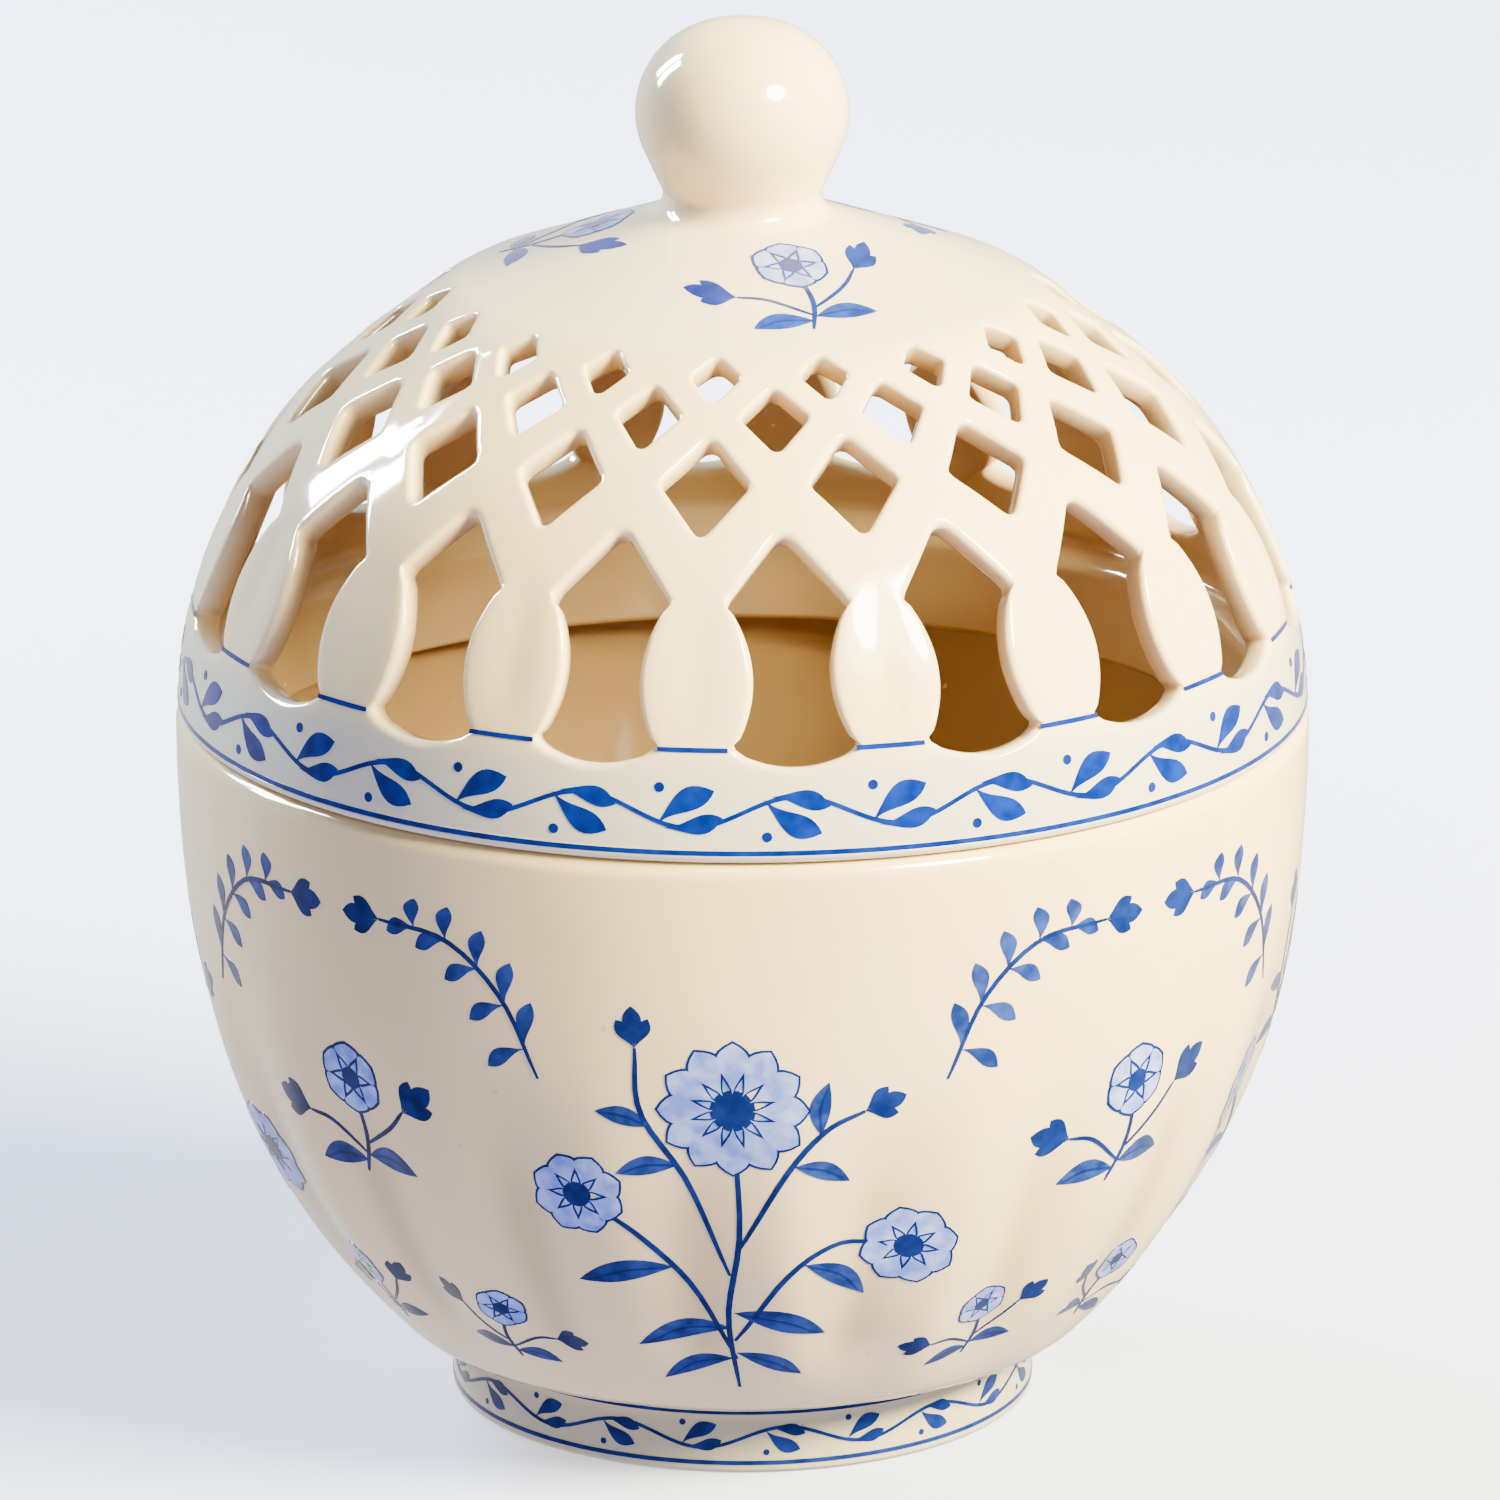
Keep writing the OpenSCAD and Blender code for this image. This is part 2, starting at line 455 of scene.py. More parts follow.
@dataclass(frozen=True)
class CobaltPrint(Finish):
    """Cobalt print under the glaze, cloudy where the ink lies thin.

    Attributes:
        dense: Colour where the ink pools.
        thin: Colour where it thins.
    """

    dense: Colour
    thin: Colour

    def inputs(self, graph: Graph) -> Inputs:
        """Inputs of the shader, with clouds of ink."""
        clouds = graph.noise(420.0, 2.0)
        return graph.glossy(graph.ramp(clouds, ((0.36, self.dense), (0.66, self.thin))))


@dataclass(frozen=True)
class PaleFloor(Finish):
    """Plain matt floor of the studio, darker around the vase as a painted shadow pool.

    Attributes:
        near: Colour around the vase, darker as a painted shadow pool.
        far: Colour farther off.
        reach: Distance in metres over which the tone changes.
        glow: Light that the floor gives off, which keeps its shadow pale.
    """

    name: str = "pale_floor"
    near: Colour = (0.5, 0.51, 0.53)
    far: Colour = (0.68, 0.69, 0.72)
    reach: float = 0.36
    glow: float = 0.8

    def inputs(self, graph: Graph) -> Inputs:
        """Inputs of the shader, with a tone that darkens towards the vase as a painted shadow pool.

        Args:
            graph: Tree of the material.

        Returns:
            The inputs.
        """
        # The floor darkens towards the vase: a painted shadow pool.
        place = graph.add("TexCoord").outputs["Object"]
        spread = graph.add("Mapping", Vector=place, Scale=(1.0 / self.reach,) * 3)
        ball = graph.add("TexGradient", Vector=spread.outputs["Vector"])
        ball.gradient_type = "SPHERICAL"
        return {
            "Base Color": graph.ramp(ball.outputs["Fac"], ((0.05, self.far), (0.72, self.near))),
            "Roughness": 0.9,
            "Specular IOR Level": 0.1,
            "Emission Color": (*WHITE, 1.0),
            "Emission Strength": self.glow,
        }


def make_object(name: str, bm: Mesh, materials: Sequence[Material]) -> Piece:
    """Turns a mesh in millimetres into a smooth object in metres.

    Args:
        name: Name of the piece.
        bm: The mesh, which is freed.
        materials: Materials of its slots.

    Returns:
        The object, linked to the scene.
    """
    bmesh.ops.scale(bm, vec=Vector((MM, MM, MM)), verts=bm.verts)
    for face in bm.faces:
        face.smooth = True
    mesh = bpy.data.meshes.new(name)
    bm.to_mesh(mesh)
    bm.free()
    piece = bpy.data.objects.new(name, mesh)
    bpy.context.scene.collection.objects.link(piece)
    for material in materials:
        mesh.materials.append(material)
    LOG.info("%s: %d faces", name, len(mesh.polygons))
    return piece


def turn_section(bm: Mesh, section: Sequence[Point], steps: int) -> None:
    """Turns an open section into a closed solid.

    Args:
        bm: Mesh that gets the solid.
        section: Radius and height from the axis round to the axis.
        steps: Number of steps of the full turn.
    """
    verts = [bm.verts.new((0.0, -radius, height)) for radius, height in section]
    edges = [bm.edges.new(pair) for pair in zip(verts, verts[1:])]
    bmesh.ops.spin(bm, geom=verts + edges, cent=(0, 0, 0), axis=(0, 0, 1), dvec=(0, 0, 0),
                   angle=2.0 * math.pi, steps=steps, use_merge=True)
    bmesh.ops.remove_doubles(bm, verts=bm.verts, dist=WELD)
    bmesh.ops.recalc_face_normals(bm, faces=bm.faces)


class Ware:
    """Base of the sub-assemblies, which dress the pieces that they build."""

    def dress(self, piece: Piece, body: Body, slot: str, node: str = "") -> None:
        """Fastens a piece to its body.

        Args:
            piece: The piece.
            body: Body that it rides on.
            slot: The record's material slot; not used.
            node: CAD node that it stands for, if any.
        """
        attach(piece, body.value)
        if node:
            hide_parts(node)
        LOG.info("%s rides on %s", piece.name, body.value)


@dataclass
class Bowl(Ware):
    """Round bowl on a foot ring, with soft flutes on its lower wall.

    Attributes:
        radius, height: Outer radius at the widest ring, and height of the rim.
        wall: Thickness of the wall.
        shoulder, lip: Rounding outside and inside the rim.
        side_sweep, belly_sweep: Radius of the upper side's arc and of the belly's.
        belly_height: Height where the side passes into the belly.
        foot_radius, foot_height: Outer radius of the foot ring, and height of the waist above it.
        foot_bore, foot_hollow: Radius and height of the hollow under the base.
        foot_edge, hollow_round, waist_round: Rounding of the foot's edges, in the hollow and of the waist.
        floor_height: Height of the floor inside.
        flutes, flute_turn: Number of flutes, and angle of a ridge between two of them.
        flute_depth, flute_power: Depth of a flute, and how narrow it is beside its ridges.
        flute_low, flute_rise: Height at which the flutes begin, and over which they deepen.
        flute_high, flute_fade: Height at which the flutes have ended, and over which they fade.
        pool_and_shade_power: How narrowly the darker colour of pooled glaze and painted shade keeps to the
            deepest line of a flute.
        band_fade: Height over which the foot's darker colour, painted shade, fades.
        steps: Steps of the full turn.
    """

    radius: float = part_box("bowl")[1].x / MM
    height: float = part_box("bowl")[1].z / MM
    wall: float = 3.1
    shoulder: float = 1.9
    lip: float = 0.8
    side_sweep: float = 190.0
    belly_height: float = 55.3
    belly_sweep: float = 75.7
    foot_radius: float = 32.9
    foot_height: float = 8.0
    foot_bore: float = 27.0
    foot_hollow: float = 6.5
    foot_edge: float = 0.7
    hollow_round: float = 1.5
    waist_round: float = 0.9
    floor_height: float = 12.0
    flutes: int = 18
    flute_depth: float = 0.95
    flute_power: float = 1.8
    flute_turn: float = 5.0
    flute_low: float = 9.0
    flute_rise: float = 12.0
    flute_high: float = 64.0
    flute_fade: float = 28.0
    pool_and_shade_power: int = 4
    band_fade: float = 1.5
    steps: int = 360

    def __post_init__(self) -> None:
        """Finds the centres of the side and belly arcs, which are tangent."""
        self.widest = self.height - self.shoulder
        self.side_angle = math.degrees(math.asin((self.widest - self.belly_height) / self.side_sweep))
        self.side_centre = (self.radius - self.side_sweep, self.widest)
        reach = self.side_sweep - self.belly_sweep
        self.belly_centre = on_circle(self.side_centre, reach, -self.side_angle)
        drop = (self.floor_height - self.belly_centre[1]) / (self.belly_sweep - self.wall)
        self.belly_low = math.degrees(math.asin(drop))

    def flute(self, angle: float, height: float) -> float:
        """Relief of the flutes, which is never above the turned wall.

        Args:
            angle: Angle from the front.
            height: Height on the wall.

        Returns:
            The relief, zero on a ridge and negative in a flute.
        """
        fade = smoothstep(self.flute_low, self.flute_low + self.flute_rise, height)
        fade *= 1.0 - smoothstep(self.flute_high - self.flute_fade, self.flute_high, height)
        turn = math.radians(self.flutes * (angle - self.flute_turn))
        return -self.flute_depth * fade * abs(math.sin(turn / 2.0)) ** self.flute_power

    def outer_wall(self) -> list[Point]:
        """Outer wall.

        Returns:
            Radius and height from the waist to the top of the side.
        """
        waist = self.foot_radius, self.foot_height
        belly = arc(self.belly_centre, self.belly_sweep, self.belly_low, -self.side_angle, 56)
        side = arc(self.side_centre, self.side_sweep, -self.side_angle, 0.0, 20)
        under = trace((waist, blend(waist, belly[0], 0.5), belly[0], belly[3]), 2, 11, 18)
        return under + belly[1:] + side[1:]

    def surface(self) -> Surface:
        """Outer face that the print lies on."""
        return Surface(Outline(self.outer_wall()), self.flute)

    def foot_surface(self) -> Surface:
        """Outer face of the foot ring."""
        return Surface(Outline([(self.foot_radius, 0.0), (self.foot_radius, self.foot_height)]))

    def foot_section(self) -> list[Point]:
        """Section of the base and foot ring.

        Returns:
            Radius and height from the axis under the base to the waist.
        """
        edge, hollow, waist = self.foot_edge, self.hollow_round, self.waist_round
        foot = [(0.0, self.foot_hollow), (self.foot_bore - 2.0, self.foot_hollow)]
        foot += arc((self.foot_bore - hollow, self.foot_hollow - hollow), hollow, 90.0, 0.0, 5)[1:]
        foot += arc((self.foot_bore + edge, edge), edge, 180.0, 270.0, 4)
        foot += arc((self.foot_radius - edge, edge), edge, -90.0, 0.0, 6)
        foot += [(self.foot_radius, 2.0 + i) for i in range(5)]
        return foot + arc((self.foot_radius + waist, self.foot_height - waist), waist, 180.0, 105.0, 5)

    def section(self) -> list[Point]:
        """Section of the bowl.

        Returns:
            Radius and height from the axis under the base round to the axis on the floor.
        """
        inner = self.radius - self.wall
        rim = arc((self.radius - self.shoulder, self.widest), self.shoulder, 0.0, 90.0, 8)
        rim += arc((inner + self.lip, self.height - self.lip), self.lip, 90.0, 180.0, 5)
        side = arc(self.side_centre, self.side_sweep - self.wall, 0.0, -self.side_angle, 16)
        belly = arc(self.belly_centre, self.belly_sweep - self.wall, -self.side_angle,
                    self.belly_low + 5.0, 44)
        reach, level = belly[-1][0], self.floor_height
        corner = blend((reach, level), (0.0, level), 0.18)
        floor = trace((belly[-2], belly[-1], corner, (reach * 0.6, level)), 6, 15, 15)
        floor += [(reach * share, level) for share in (0.4, 0.2, 0.0)]
        return self.foot_section() + self.outer_wall()[2:] + rim[1:] + side[2:] + belly[1:] + floor

    def build(self, glaze: Material) -> None:
        """Builds the bowl, which stands for the CAD bowl, and dresses it.

        Args:
            glaze: Material of the bowl.
        """
        bm = bmesh.new()
        for name in (INSIDE, BAND, POOL_AND_SHADE):
            bm.verts.layers.float.new(name)
        inside, band, pool_and_shade = (bm.verts.layers.float[name] for name in (INSIDE, BAND, POOL_AND_SHADE))
        turn_section(bm, self.section(), self.steps)
        for vert in bm.verts:
            # The foot ring gets the band colour, which on the bowl is painted shade on the foot.
            vert[band] = smoothstep(self.foot_height, self.foot_height - self.band_fade, vert.co.z)
            radius = math.hypot(vert.co.x, vert.co.y)
            facing = vert.normal.dot(Vector((vert.co.x, vert.co.y, -radius * 0.5)))
            # Faces that look inwards get the inner colour: painted shade inside the bowl.
            if vert.co.z > self.floor_height - 1.0:
                vert[inside] = smoothstep(0.2, -0.4, facing / max(radius, 1.0))
            if facing > 0.0 and radius > self.foot_radius and vert.co.z < self.widest:
                relief = self.flute(angle_of(vert.co), vert.co.z)
                # The flutes' valleys get a darker colour: partly pooled glaze, partly painted shade.
                vert[pool_and_shade] = (relief / self.flute_depth) ** self.pool_and_shade_power
                vert.co += vert.normal * relief
        self.dress(make_object("glazed_bowl", bm, [glaze]), Body.BOWL, "bowl_glaze", "bowl")


@dataclass
class Opening:
    """One opening of the lattice, mirrored about its own axis.

    Attributes:
        knots: Corners of the right half, from the top round to the bottom, as offset and walk.
        rounds: Fillet of each corner.
        counts: Number of steps of each side.
        soft: Width of the rounding at its outer edge.
        fine: Number of rings from that rounding to the middle of the bars around it.
        bows: How far each side bows towards the axis, and upwards.
    """

    knots: list[Point]
    rounds: list[float]
    counts: list[int]
    soft: float
    fine: int
    bows: tuple[Point, ...] = ((0.0, 0.0),) * 2

    def right_half(self) -> list[list[Point]]:
        """Sides of the right half, each from corner to corner with rounded ends.

        Returns:
            One list of points for each side.
        """
        loop = [mirror(self.knots[1]), *self.knots, mirror(self.knots[-2])]
        sides = []
        for i, count in enumerate(self.counts):
            a, b = Vector(self.knots[i]), Vector(self.knots[i + 1])
            bow = Vector(mirror(self.bows[i]))
            first, second = (self.fillet(*loop[j:j + 3], self.rounds[j]) for j in (i, i + 1))
            points = []
            for t in (k / count for k in range(count + 1)):
                walked = (b - a).length * t
                left = (b - a).length - walked
                point = a.lerp(b, t) + bow * 4.0 * t * (1.0 - t)
                if walked < first[1]:
                    point = self.on_fillet(first, walked / first[1], True)
                if left < second[1]:
                    point = self.on_fillet(second, left / second[1], False)
                points.append((point.x, point.y))
            sides.append(points)
        return sides

    @staticmethod
    def fillet(a: Point, p: Point, b: Point, radius: float) -> Fillet:
        """Fillet of a corner.

        Args:
            a: Point before the corner.
            p: The corner.
            b: Point after the corner.
            radius: Radius of the fillet.

        Returns:
            Its centre, the length it takes off each side, its radius, and the two tangent points.
        """
        corner = Vector(p)
        u, w = (Vector(a) - corner).normalized(), (Vector(b) - corner).normalized()
        half = math.acos(max(-1.0, min(1.0, u.dot(w)))) / 2.0
        if half > math.radians(88.0):
            return corner, 1e-6, 0.0, corner, corner
        cut = radius / math.tan(half)
        centre = corner + (u + w).normalized() * radius / math.sin(half)
        return centre, cut, radius, corner + u * cut, corner + w * cut

    @staticmethod
    def on_fillet(fillet: Fillet, share: float, leaving: bool) -> Vector:
        """Point of half a fillet.

        Args:
            fillet: The fillet.
            share: 0 at the middle of the fillet, 1 where it meets the side.
            leaving: Whether the side leaves the corner.

        Returns:
            The point on the fillet's arc.
        """
        centre, _, radius, before, after = fillet
        middle = (before + after) / 2.0 - centre
        end = (after if leaving else before) - centre
        aim = middle.normalized().lerp(end.normalized(), share)
        return centre + aim.normalized() * radius


@dataclass
class Lid(Ware):
    """Dome lid: a plain band below, a pierced lattice, and a cap that carries the knob.

    Attributes:
        radius, base: Outer radius and height of the lower edge.
        wall: Thickness of the wall.
        dome_sweep, dome_drop: Radius of the dome's arc, and depth of its centre below the edge.
        slope_angle: Angle from the vertical at which the dome passes into the slope.
        slope_ease: How much flatter the slope is than the dome's end.
        cap_radius, cap_angle: Radius of the cap's shoulder, and slope of the cap.
        cap_back: Walk from the flat to where the cap's underside levels out.
        flat_radius: Radius of the flat that the knob stands on.
        flange_outer, flange_wall: Outer radius and thickness of the locating flange.
        flange_depth: Depth of the flange below the edge.
        flange_round: Rounding of the lower edge and of the flange's end.
        ledge, ledge_rise: Height of the ledge that joins the flange to the wall, and over which it does.
        posts, turn: Number of posts, and angle of the first one.
        band, line_gap: Height of the plain band, and walk from the openings down to the lattice's end.
        edge_depth: Depth of the rounding at the openings' outer edges, as a share of its width.
        inner_round: Rounding of their inner edges.
        bars, feet, scallop: Steps along each bar, each post, and half an arch's foot.
        fan, fork_rise: Steps from the cap to the fork of two bars, and its rise above their middle.
        pin: Radius that stands for the axis, so that points on it keep their angle.
        wobble, widen, lean: How far the hand strays to the side, in an opening's width, and in its slant.
        dent_depth, dent_width: Depth and half angle of the dent along a post.
        crown_tone: Share of the band colour on the cap, which makes it cooler and darker; the darkening is
            painted shade.
        hand: Random draws of the hand that cuts.
    """

    radius: float = 63.2
    base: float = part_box("bowl")[1].z / MM
    wall: float = 3.1
    dome_sweep: float = 52.85
    dome_drop: float = 1.3
    slope_angle: float = 41.0
    slope_ease: float = 3.6
    cap_radius: float = 33.1
    cap_angle: float = 20.0
    cap_back: float = 4.0
    flat_radius: float = 9.2
    flange_outer: float = 59.7
    flange_wall: float = 2.7
    flange_depth: float = 7.7
    flange_round: float = 0.9
    ledge: float = 2.6
    ledge_rise: float = 3.4
    posts: int = 18
    turn: float = -5.0
    band: float = 10.4
    line_gap: float = 1.5
    edge_depth: float = 0.85
    inner_round: float = 0.7
    bars: int = 12
    feet: int = 22
    scallop: int = 10
    fan: int = 7
    fork_rise: float = 1.6
    pin: float = 5e-4
    wobble: float = 0.22
    widen: float = 0.1
    lean: float = 0.03
    dent_depth: float = 0.22
    dent_width: float = 2.2
    crown_tone: float = 0.55
    hand: random.Random = field(default_factory=lambda: random.Random(5))

    def __post_init__(self) -> None:
        """Works out the dome's outline and the levels of the lattice."""
        edge = math.degrees(math.asin(self.dome_drop / self.dome_sweep))
        shift = self.dome_sweep * math.cos(math.radians(edge))
        centre = (self.radius - shift, self.base - self.dome_drop)
        line = arc(centre, self.dome_sweep, edge, 90.0 - self.slope_angle, 48)
        end = line[-1]
        slope = math.tan(math.radians(self.slope_angle - self.slope_ease))
        self.low, self.high = self.base + self.band, end[1] + (end[0] - self.cap_radius) * slope
        rise = (self.cap_radius - self.flat_radius) * math.tan(math.radians(self.cap_angle))
        self.cap_height = self.high + rise
        shoulder, flat = (self.cap_radius, self.high), (self.flat_radius, self.cap_height)
        line += [blend(end, shoulder, t / 12) for t in range(1, 10)]
        bend = [blend(end, shoulder, t) for t in (0.75, 0.9)]
        bend += [blend(shoulder, flat, t) for t in (0.05, 0.14)]
        line += trace(bend, 1, 9, 9)
        line += [blend(shoulder, flat, 0.14 + 0.86 * t / 16) for t in range(1, 17)]
        self.outline = Outline(line)
        self.half = FULL_TURN / 2.0 / self.posts
        self.top, self.foot = self.level(1.045), self.level(0.0) - self.line_gap

    def surface(self) -> Surface:
        """Outer face that the print lies on."""
        return Surface(self.outline)

    def level(self, share: float) -> float:
        """Walk along the dome to a share of the lattice's height."""
        return self.outline.walk_to(self.low + (self.high - self.low) * share)

    def openings(self) -> dict[Row, Opening]:
        """Openings of the four rows.

        Returns:
            The openings, from the cap downwards.
        """
        at = self.level
        bars = [self.bars] * 2
        sink = (at(0.0) - at(0.046)) / 4.0
        return {
            Row.SMALL: Opening([(0, at(1.01)), (2.7, at(0.965)), (0, at(0.905))], [0.8] * 3,
                               [self.bars + self.fan, self.bars], 0.6, 8),
            Row.MIDDLE: Opening([(0, at(0.945)), (3.7, at(0.876)), (0, at(0.795))], [0.8] * 3,
                                bars, 0.7, 8),
            Row.LARGE: Opening([(0, at(0.835)), (5.0, at(0.726)), (0, at(0.595))], [0.9] * 3,
                               bars, 0.85, 5),
            Row.ARCH: Opening([(0, at(0.62)), (6.4, at(0.44)), (6.6, at(0.046)), (0, at(0.0))],
                              [1.2, 2.4, 1.0, 0.8], [self.bars, self.feet, self.scallop], 1.0, 5,
                              ((0.0, 0.0), (2.35, 0.0), (0.0, sink))),
        }

    def between(self, a: list[Point], b: list[Point], start: Point, end: Point) -> list[Point]:
        """Middle line of the bar between two openings.

        Args:
            a: Side of the first opening, as offset and walk.
            b: Side of the second one, half a pitch away.
            start: First point of the line.
            end: Last point of the line.

        Returns:
            Angles from the first opening's axis, and walks.
        """
        angles = [[math.degrees(p[0] / self.outline.at(p[1])[0].x) for p in side] for side in (a, b)]
        line = [((s + self.half - t) / 2.0, (p[1] + q[1]) / 2.0) for s, t, p, q in zip(*angles, a, b)]
        return [start] + line[1:-1] + [end]

    def spokes(self) -> dict[Row, list[Spoke]]:
        """Pairs each point of an opening's right half with a point on the middle of the bars around it.

        Returns:
            For each row, pairs of an offset and walk, and an angle from its own axis and a walk.
        """
        small, middle, large, arch = (opening.right_half() for opening in self.openings().values())
        half, top, foot = self.half, self.top, self.foot
        fork = (small[0][-1][1] + middle[0][0][1]) / 2.0 + self.fork_rise
        node_1 = (small[1][-1][1] + large[0][0][1]) / 2.0
        node_2 = (middle[1][-1][1] + arch[0][0][1]) / 2.0
        node_3 = large[1][-1][1] * 0.55 + arch[0][-1][1] * 0.45
        bar_1 = self.between(small[1], middle[0], (half, fork), (0.0, node_1))
        bar_2 = self.between(large[0], middle[1], (0.0, node_1), (half, node_2))
        bar_3 = self.between(large[1], arch[0], (half, node_2), (0.0, node_3))
        crown = [(half * k / self.bars, top) for k in range(self.bars + 1)]
        crown += [(half, top + (fork - top) * k / self.fan) for k in range(1, self.fan + 1)]
        post = [(half, node_3 + (foot - node_3) * k / self.feet) for k in range(self.feet + 1)]
        sill = [(half * (1.0 - k / self.scallop), foot) for k in range(self.scallop + 1)]
        across = [[(half - angle, walk) for angle, walk in bar] for bar in (bar_1, bar_2, bar_3)]
        rows = {
            Row.SMALL: ((small[0], crown), (small[1], bar_1)),
            Row.MIDDLE: ((middle[0], across[0]), (middle[1], across[1])),
            Row.LARGE: ((large[0], bar_2), (large[1], bar_3)),
            Row.ARCH: ((arch[0], across[2]), (arch[1], post), (arch[2], sill)),
        }
        pairs = {}
        for row, sides in rows.items():
            pairs[row] = [pair for edge, line in sides for pair in list(zip(edge, line))[:-1]]
            pairs[row].append((sides[-1][0][-1], sides[-1][1][-1]))
        return pairs

    def rings(self, opening: Opening) -> list[Ring]:
        """Rings of a collar, from the outer middle line over the opening's wall to the inner one.

        Args:
            opening: The opening that the collar surrounds.

        Returns:
            For each ring its distance from the opening's edge, its depth, and its share of the way
            from there to the middle line.
        """
        r, q = opening.soft, self.inner_round
        rings = [(r, 0.0, 1.0 - k / opening.fine) for k in range(opening.fine)]
        for t in map(math.radians, (0.0, 18.0, 36.0, 54.0, 72.0, 90.0)):
            rings.append((r - r * math.sin(t), r * self.edge_depth * (1.0 - math.cos(t)), 0.0))
        for t in map(math.radians, (0.0, 45.0, 90.0)):
            rings.append((q - q * math.cos(t), self.wall - q + q * math.sin(t), 0.0))
        return rings + [(q, self.wall, 1.0)]

    def collar(self, bm: Mesh, axis: float, pairs: list[Spoke], opening: Opening) -> None:
        """Builds the wall around one opening, from the middle of its bars into its inner edge.

        Args:
            bm: Mesh that gets the collar.
            axis: Angle of the opening's axis.
            pairs: Spokes of the opening's right half.
            opening: The opening.
        """
        rings = self.rings(opening)
        loop = pairs + [(mirror(p), mirror(q)) for p, q in reversed(pairs[:-1])]
        middle_walk = (pairs[0][0][1] + pairs[-1][0][1]) / 2.0
        wider, aside, lean = (self.hand.uniform(-1.0, 1.0) for _ in range(3))
        inside = bm.verts.layers.float[INSIDE]
        grid = bmesh.ops.create_grid(bm, x_segments=len(loop) - 1, y_segments=len(rings) - 1, size=1.0)
        for vert in grid["verts"]:
            edge, middle = loop[round((vert.co.x + 1.0) / 2.0 * (len(loop) - 1))]
            ring = rings[round((vert.co.y + 1.0) / 2.0 * (len(rings) - 1))]
            shift = self.wobble * aside + self.lean * lean * (edge[1] - middle_walk)
            cut = edge[0] * (1.0 + self.wobble * self.widen * wider) + shift, edge[1]
            # The cut walls pass into the inner colour with depth: painted shade in the openings.
            vert[inside] = smoothstep(0.2, 0.7 * self.wall, ring[1])
            vert.co = self.collar_point(axis, cut, middle, ring)

    def collar_point(self, axis: float, edge: Point, middle: Point, ring: Ring) -> Vector:
        """Point of a collar.

        Args:
            axis: Angle of the opening's axis.
            edge: Offset and walk of the opening's edge.
            middle: Angle and walk of the bar's middle line.
            ring: Ring that the point lies on.

        Returns:
            The point.
        """
        distance, depth, share = ring
        reach = self.outline.at(middle[1])[0].x * math.radians(middle[0])
        spoke = Vector((reach - edge[0], middle[1] - edge[1]))
        step = spoke * min(distance / spoke.length, 0.8)
        walked = edge[1] + step.y
        angle = math.degrees((edge[0] + step.x) / self.outline.under(walked, depth)[0])
        angle += (middle[0] - angle) * share
        walked += (middle[1] - walked) * share
        dent = self.dent(axis + angle, self.outline.at(walked)[0].y)
        return around(axis + angle, *self.outline.under(walked, depth - dent * (1.0 - depth / self.wall)))

    def dent(self, angle: float, height: float) -> float:
        """Soft dent that the cutting leaves along the middle of each post.

        Args:
            angle: Angle from the front.
            height: Height on the dome.

        Returns:
            The relief, zero beside the posts and negative in a dent.
        """
        off = (angle - self.turn + self.half) % (2.0 * self.half) - self.half
        rise = smoothstep(self.low + 2.0, self.low + 8.0, height)
        rise *= 1.0 - smoothstep(self.low + 13.0, self.low + 20.0, height)
        return -self.dent_depth * rise * math.exp(-((off / self.dent_width) ** 2))

    def extend(self, bm: Mesh, walked: float, outer: list[Point], inner: list[Point]) -> None:
        """Runs the open edge of the outer face on along a turned path, round to the inner face.

        Args:
            bm: Mesh with the lattice.
            walked: Walk at which the open edge lies.
            outer: Radius and height of each further ring outside.
            inner: The same for the rings inside.
        """
        inside = bm.verts.layers.float[INSIDE]
        start = self.outline.at(walked)[0]
        near = {v for v in bm.verts if abs(v.co.z - start.y) < 0.01
                and abs(math.hypot(v.co.x, v.co.y) - start.x) < 0.01}
        edges = [e for e in bm.edges if e.is_boundary and near.issuperset(e.verts)]
        for k, (radius, height) in enumerate(outer + inner):
            grown = bmesh.ops.extrude_edge_only(bm, edges=edges)["geom"]
            edges = [g for g in grown if isinstance(g, bmesh.types.BMEdge)]
            for vert in (g for g in grown if isinstance(g, bmesh.types.BMVert)):
                vert.co = around(angle_of(vert.co), radius, height)
                # The inner rings get the inner colour: painted shade inside the lid.
                vert[inside] = float(k >= len(outer))
        bmesh.ops.remove_doubles(bm, verts=bm.verts, dist=LATTICE_WELD)
        bmesh.ops.delete(bm, geom=[e for e in bm.edges if e.is_wire], context="EDGES")

    def band_paths(self) -> tuple[list[Point], list[Point]]:
        """Paths of the band below the lattice.

        Returns:
            The path down the band and round its edge, and the path round the flange and up the inner wall.
        """
        foot, base, edge = self.foot, self.base, self.flange_round
        outer = [self.outline.under(foot * (1.0 - k / 10), 0.0) for k in range(1, 10)]
        outer += arc((self.radius - edge, base + edge), edge, 10.0, -90.0, 7)
        bore, end = self.flange_outer - self.flange_wall, base - self.flange_depth + edge
        inner = [(self.flange_outer + 0.4, base), (self.flange_outer, base - 0.4)]
        inner += arc((self.flange_outer - edge, end), edge, 0.0, -90.0, 5)
        inner += arc((bore + edge, end), edge, -90.0, -180.0, 5)
        inner += [(bore, base - 2.0), (bore, base + 1.0)]
        walk = self.outline.walk_to(base + self.ledge + self.ledge_rise)
        above = [self.outline.under(walk + (foot - walk) * k / 3, self.wall) for k in range(4)]
        inner += trace(((bore, base), (bore, base + self.ledge), above[0], above[-1]), 5, 12, 18)
        return outer, inner + above[1:]

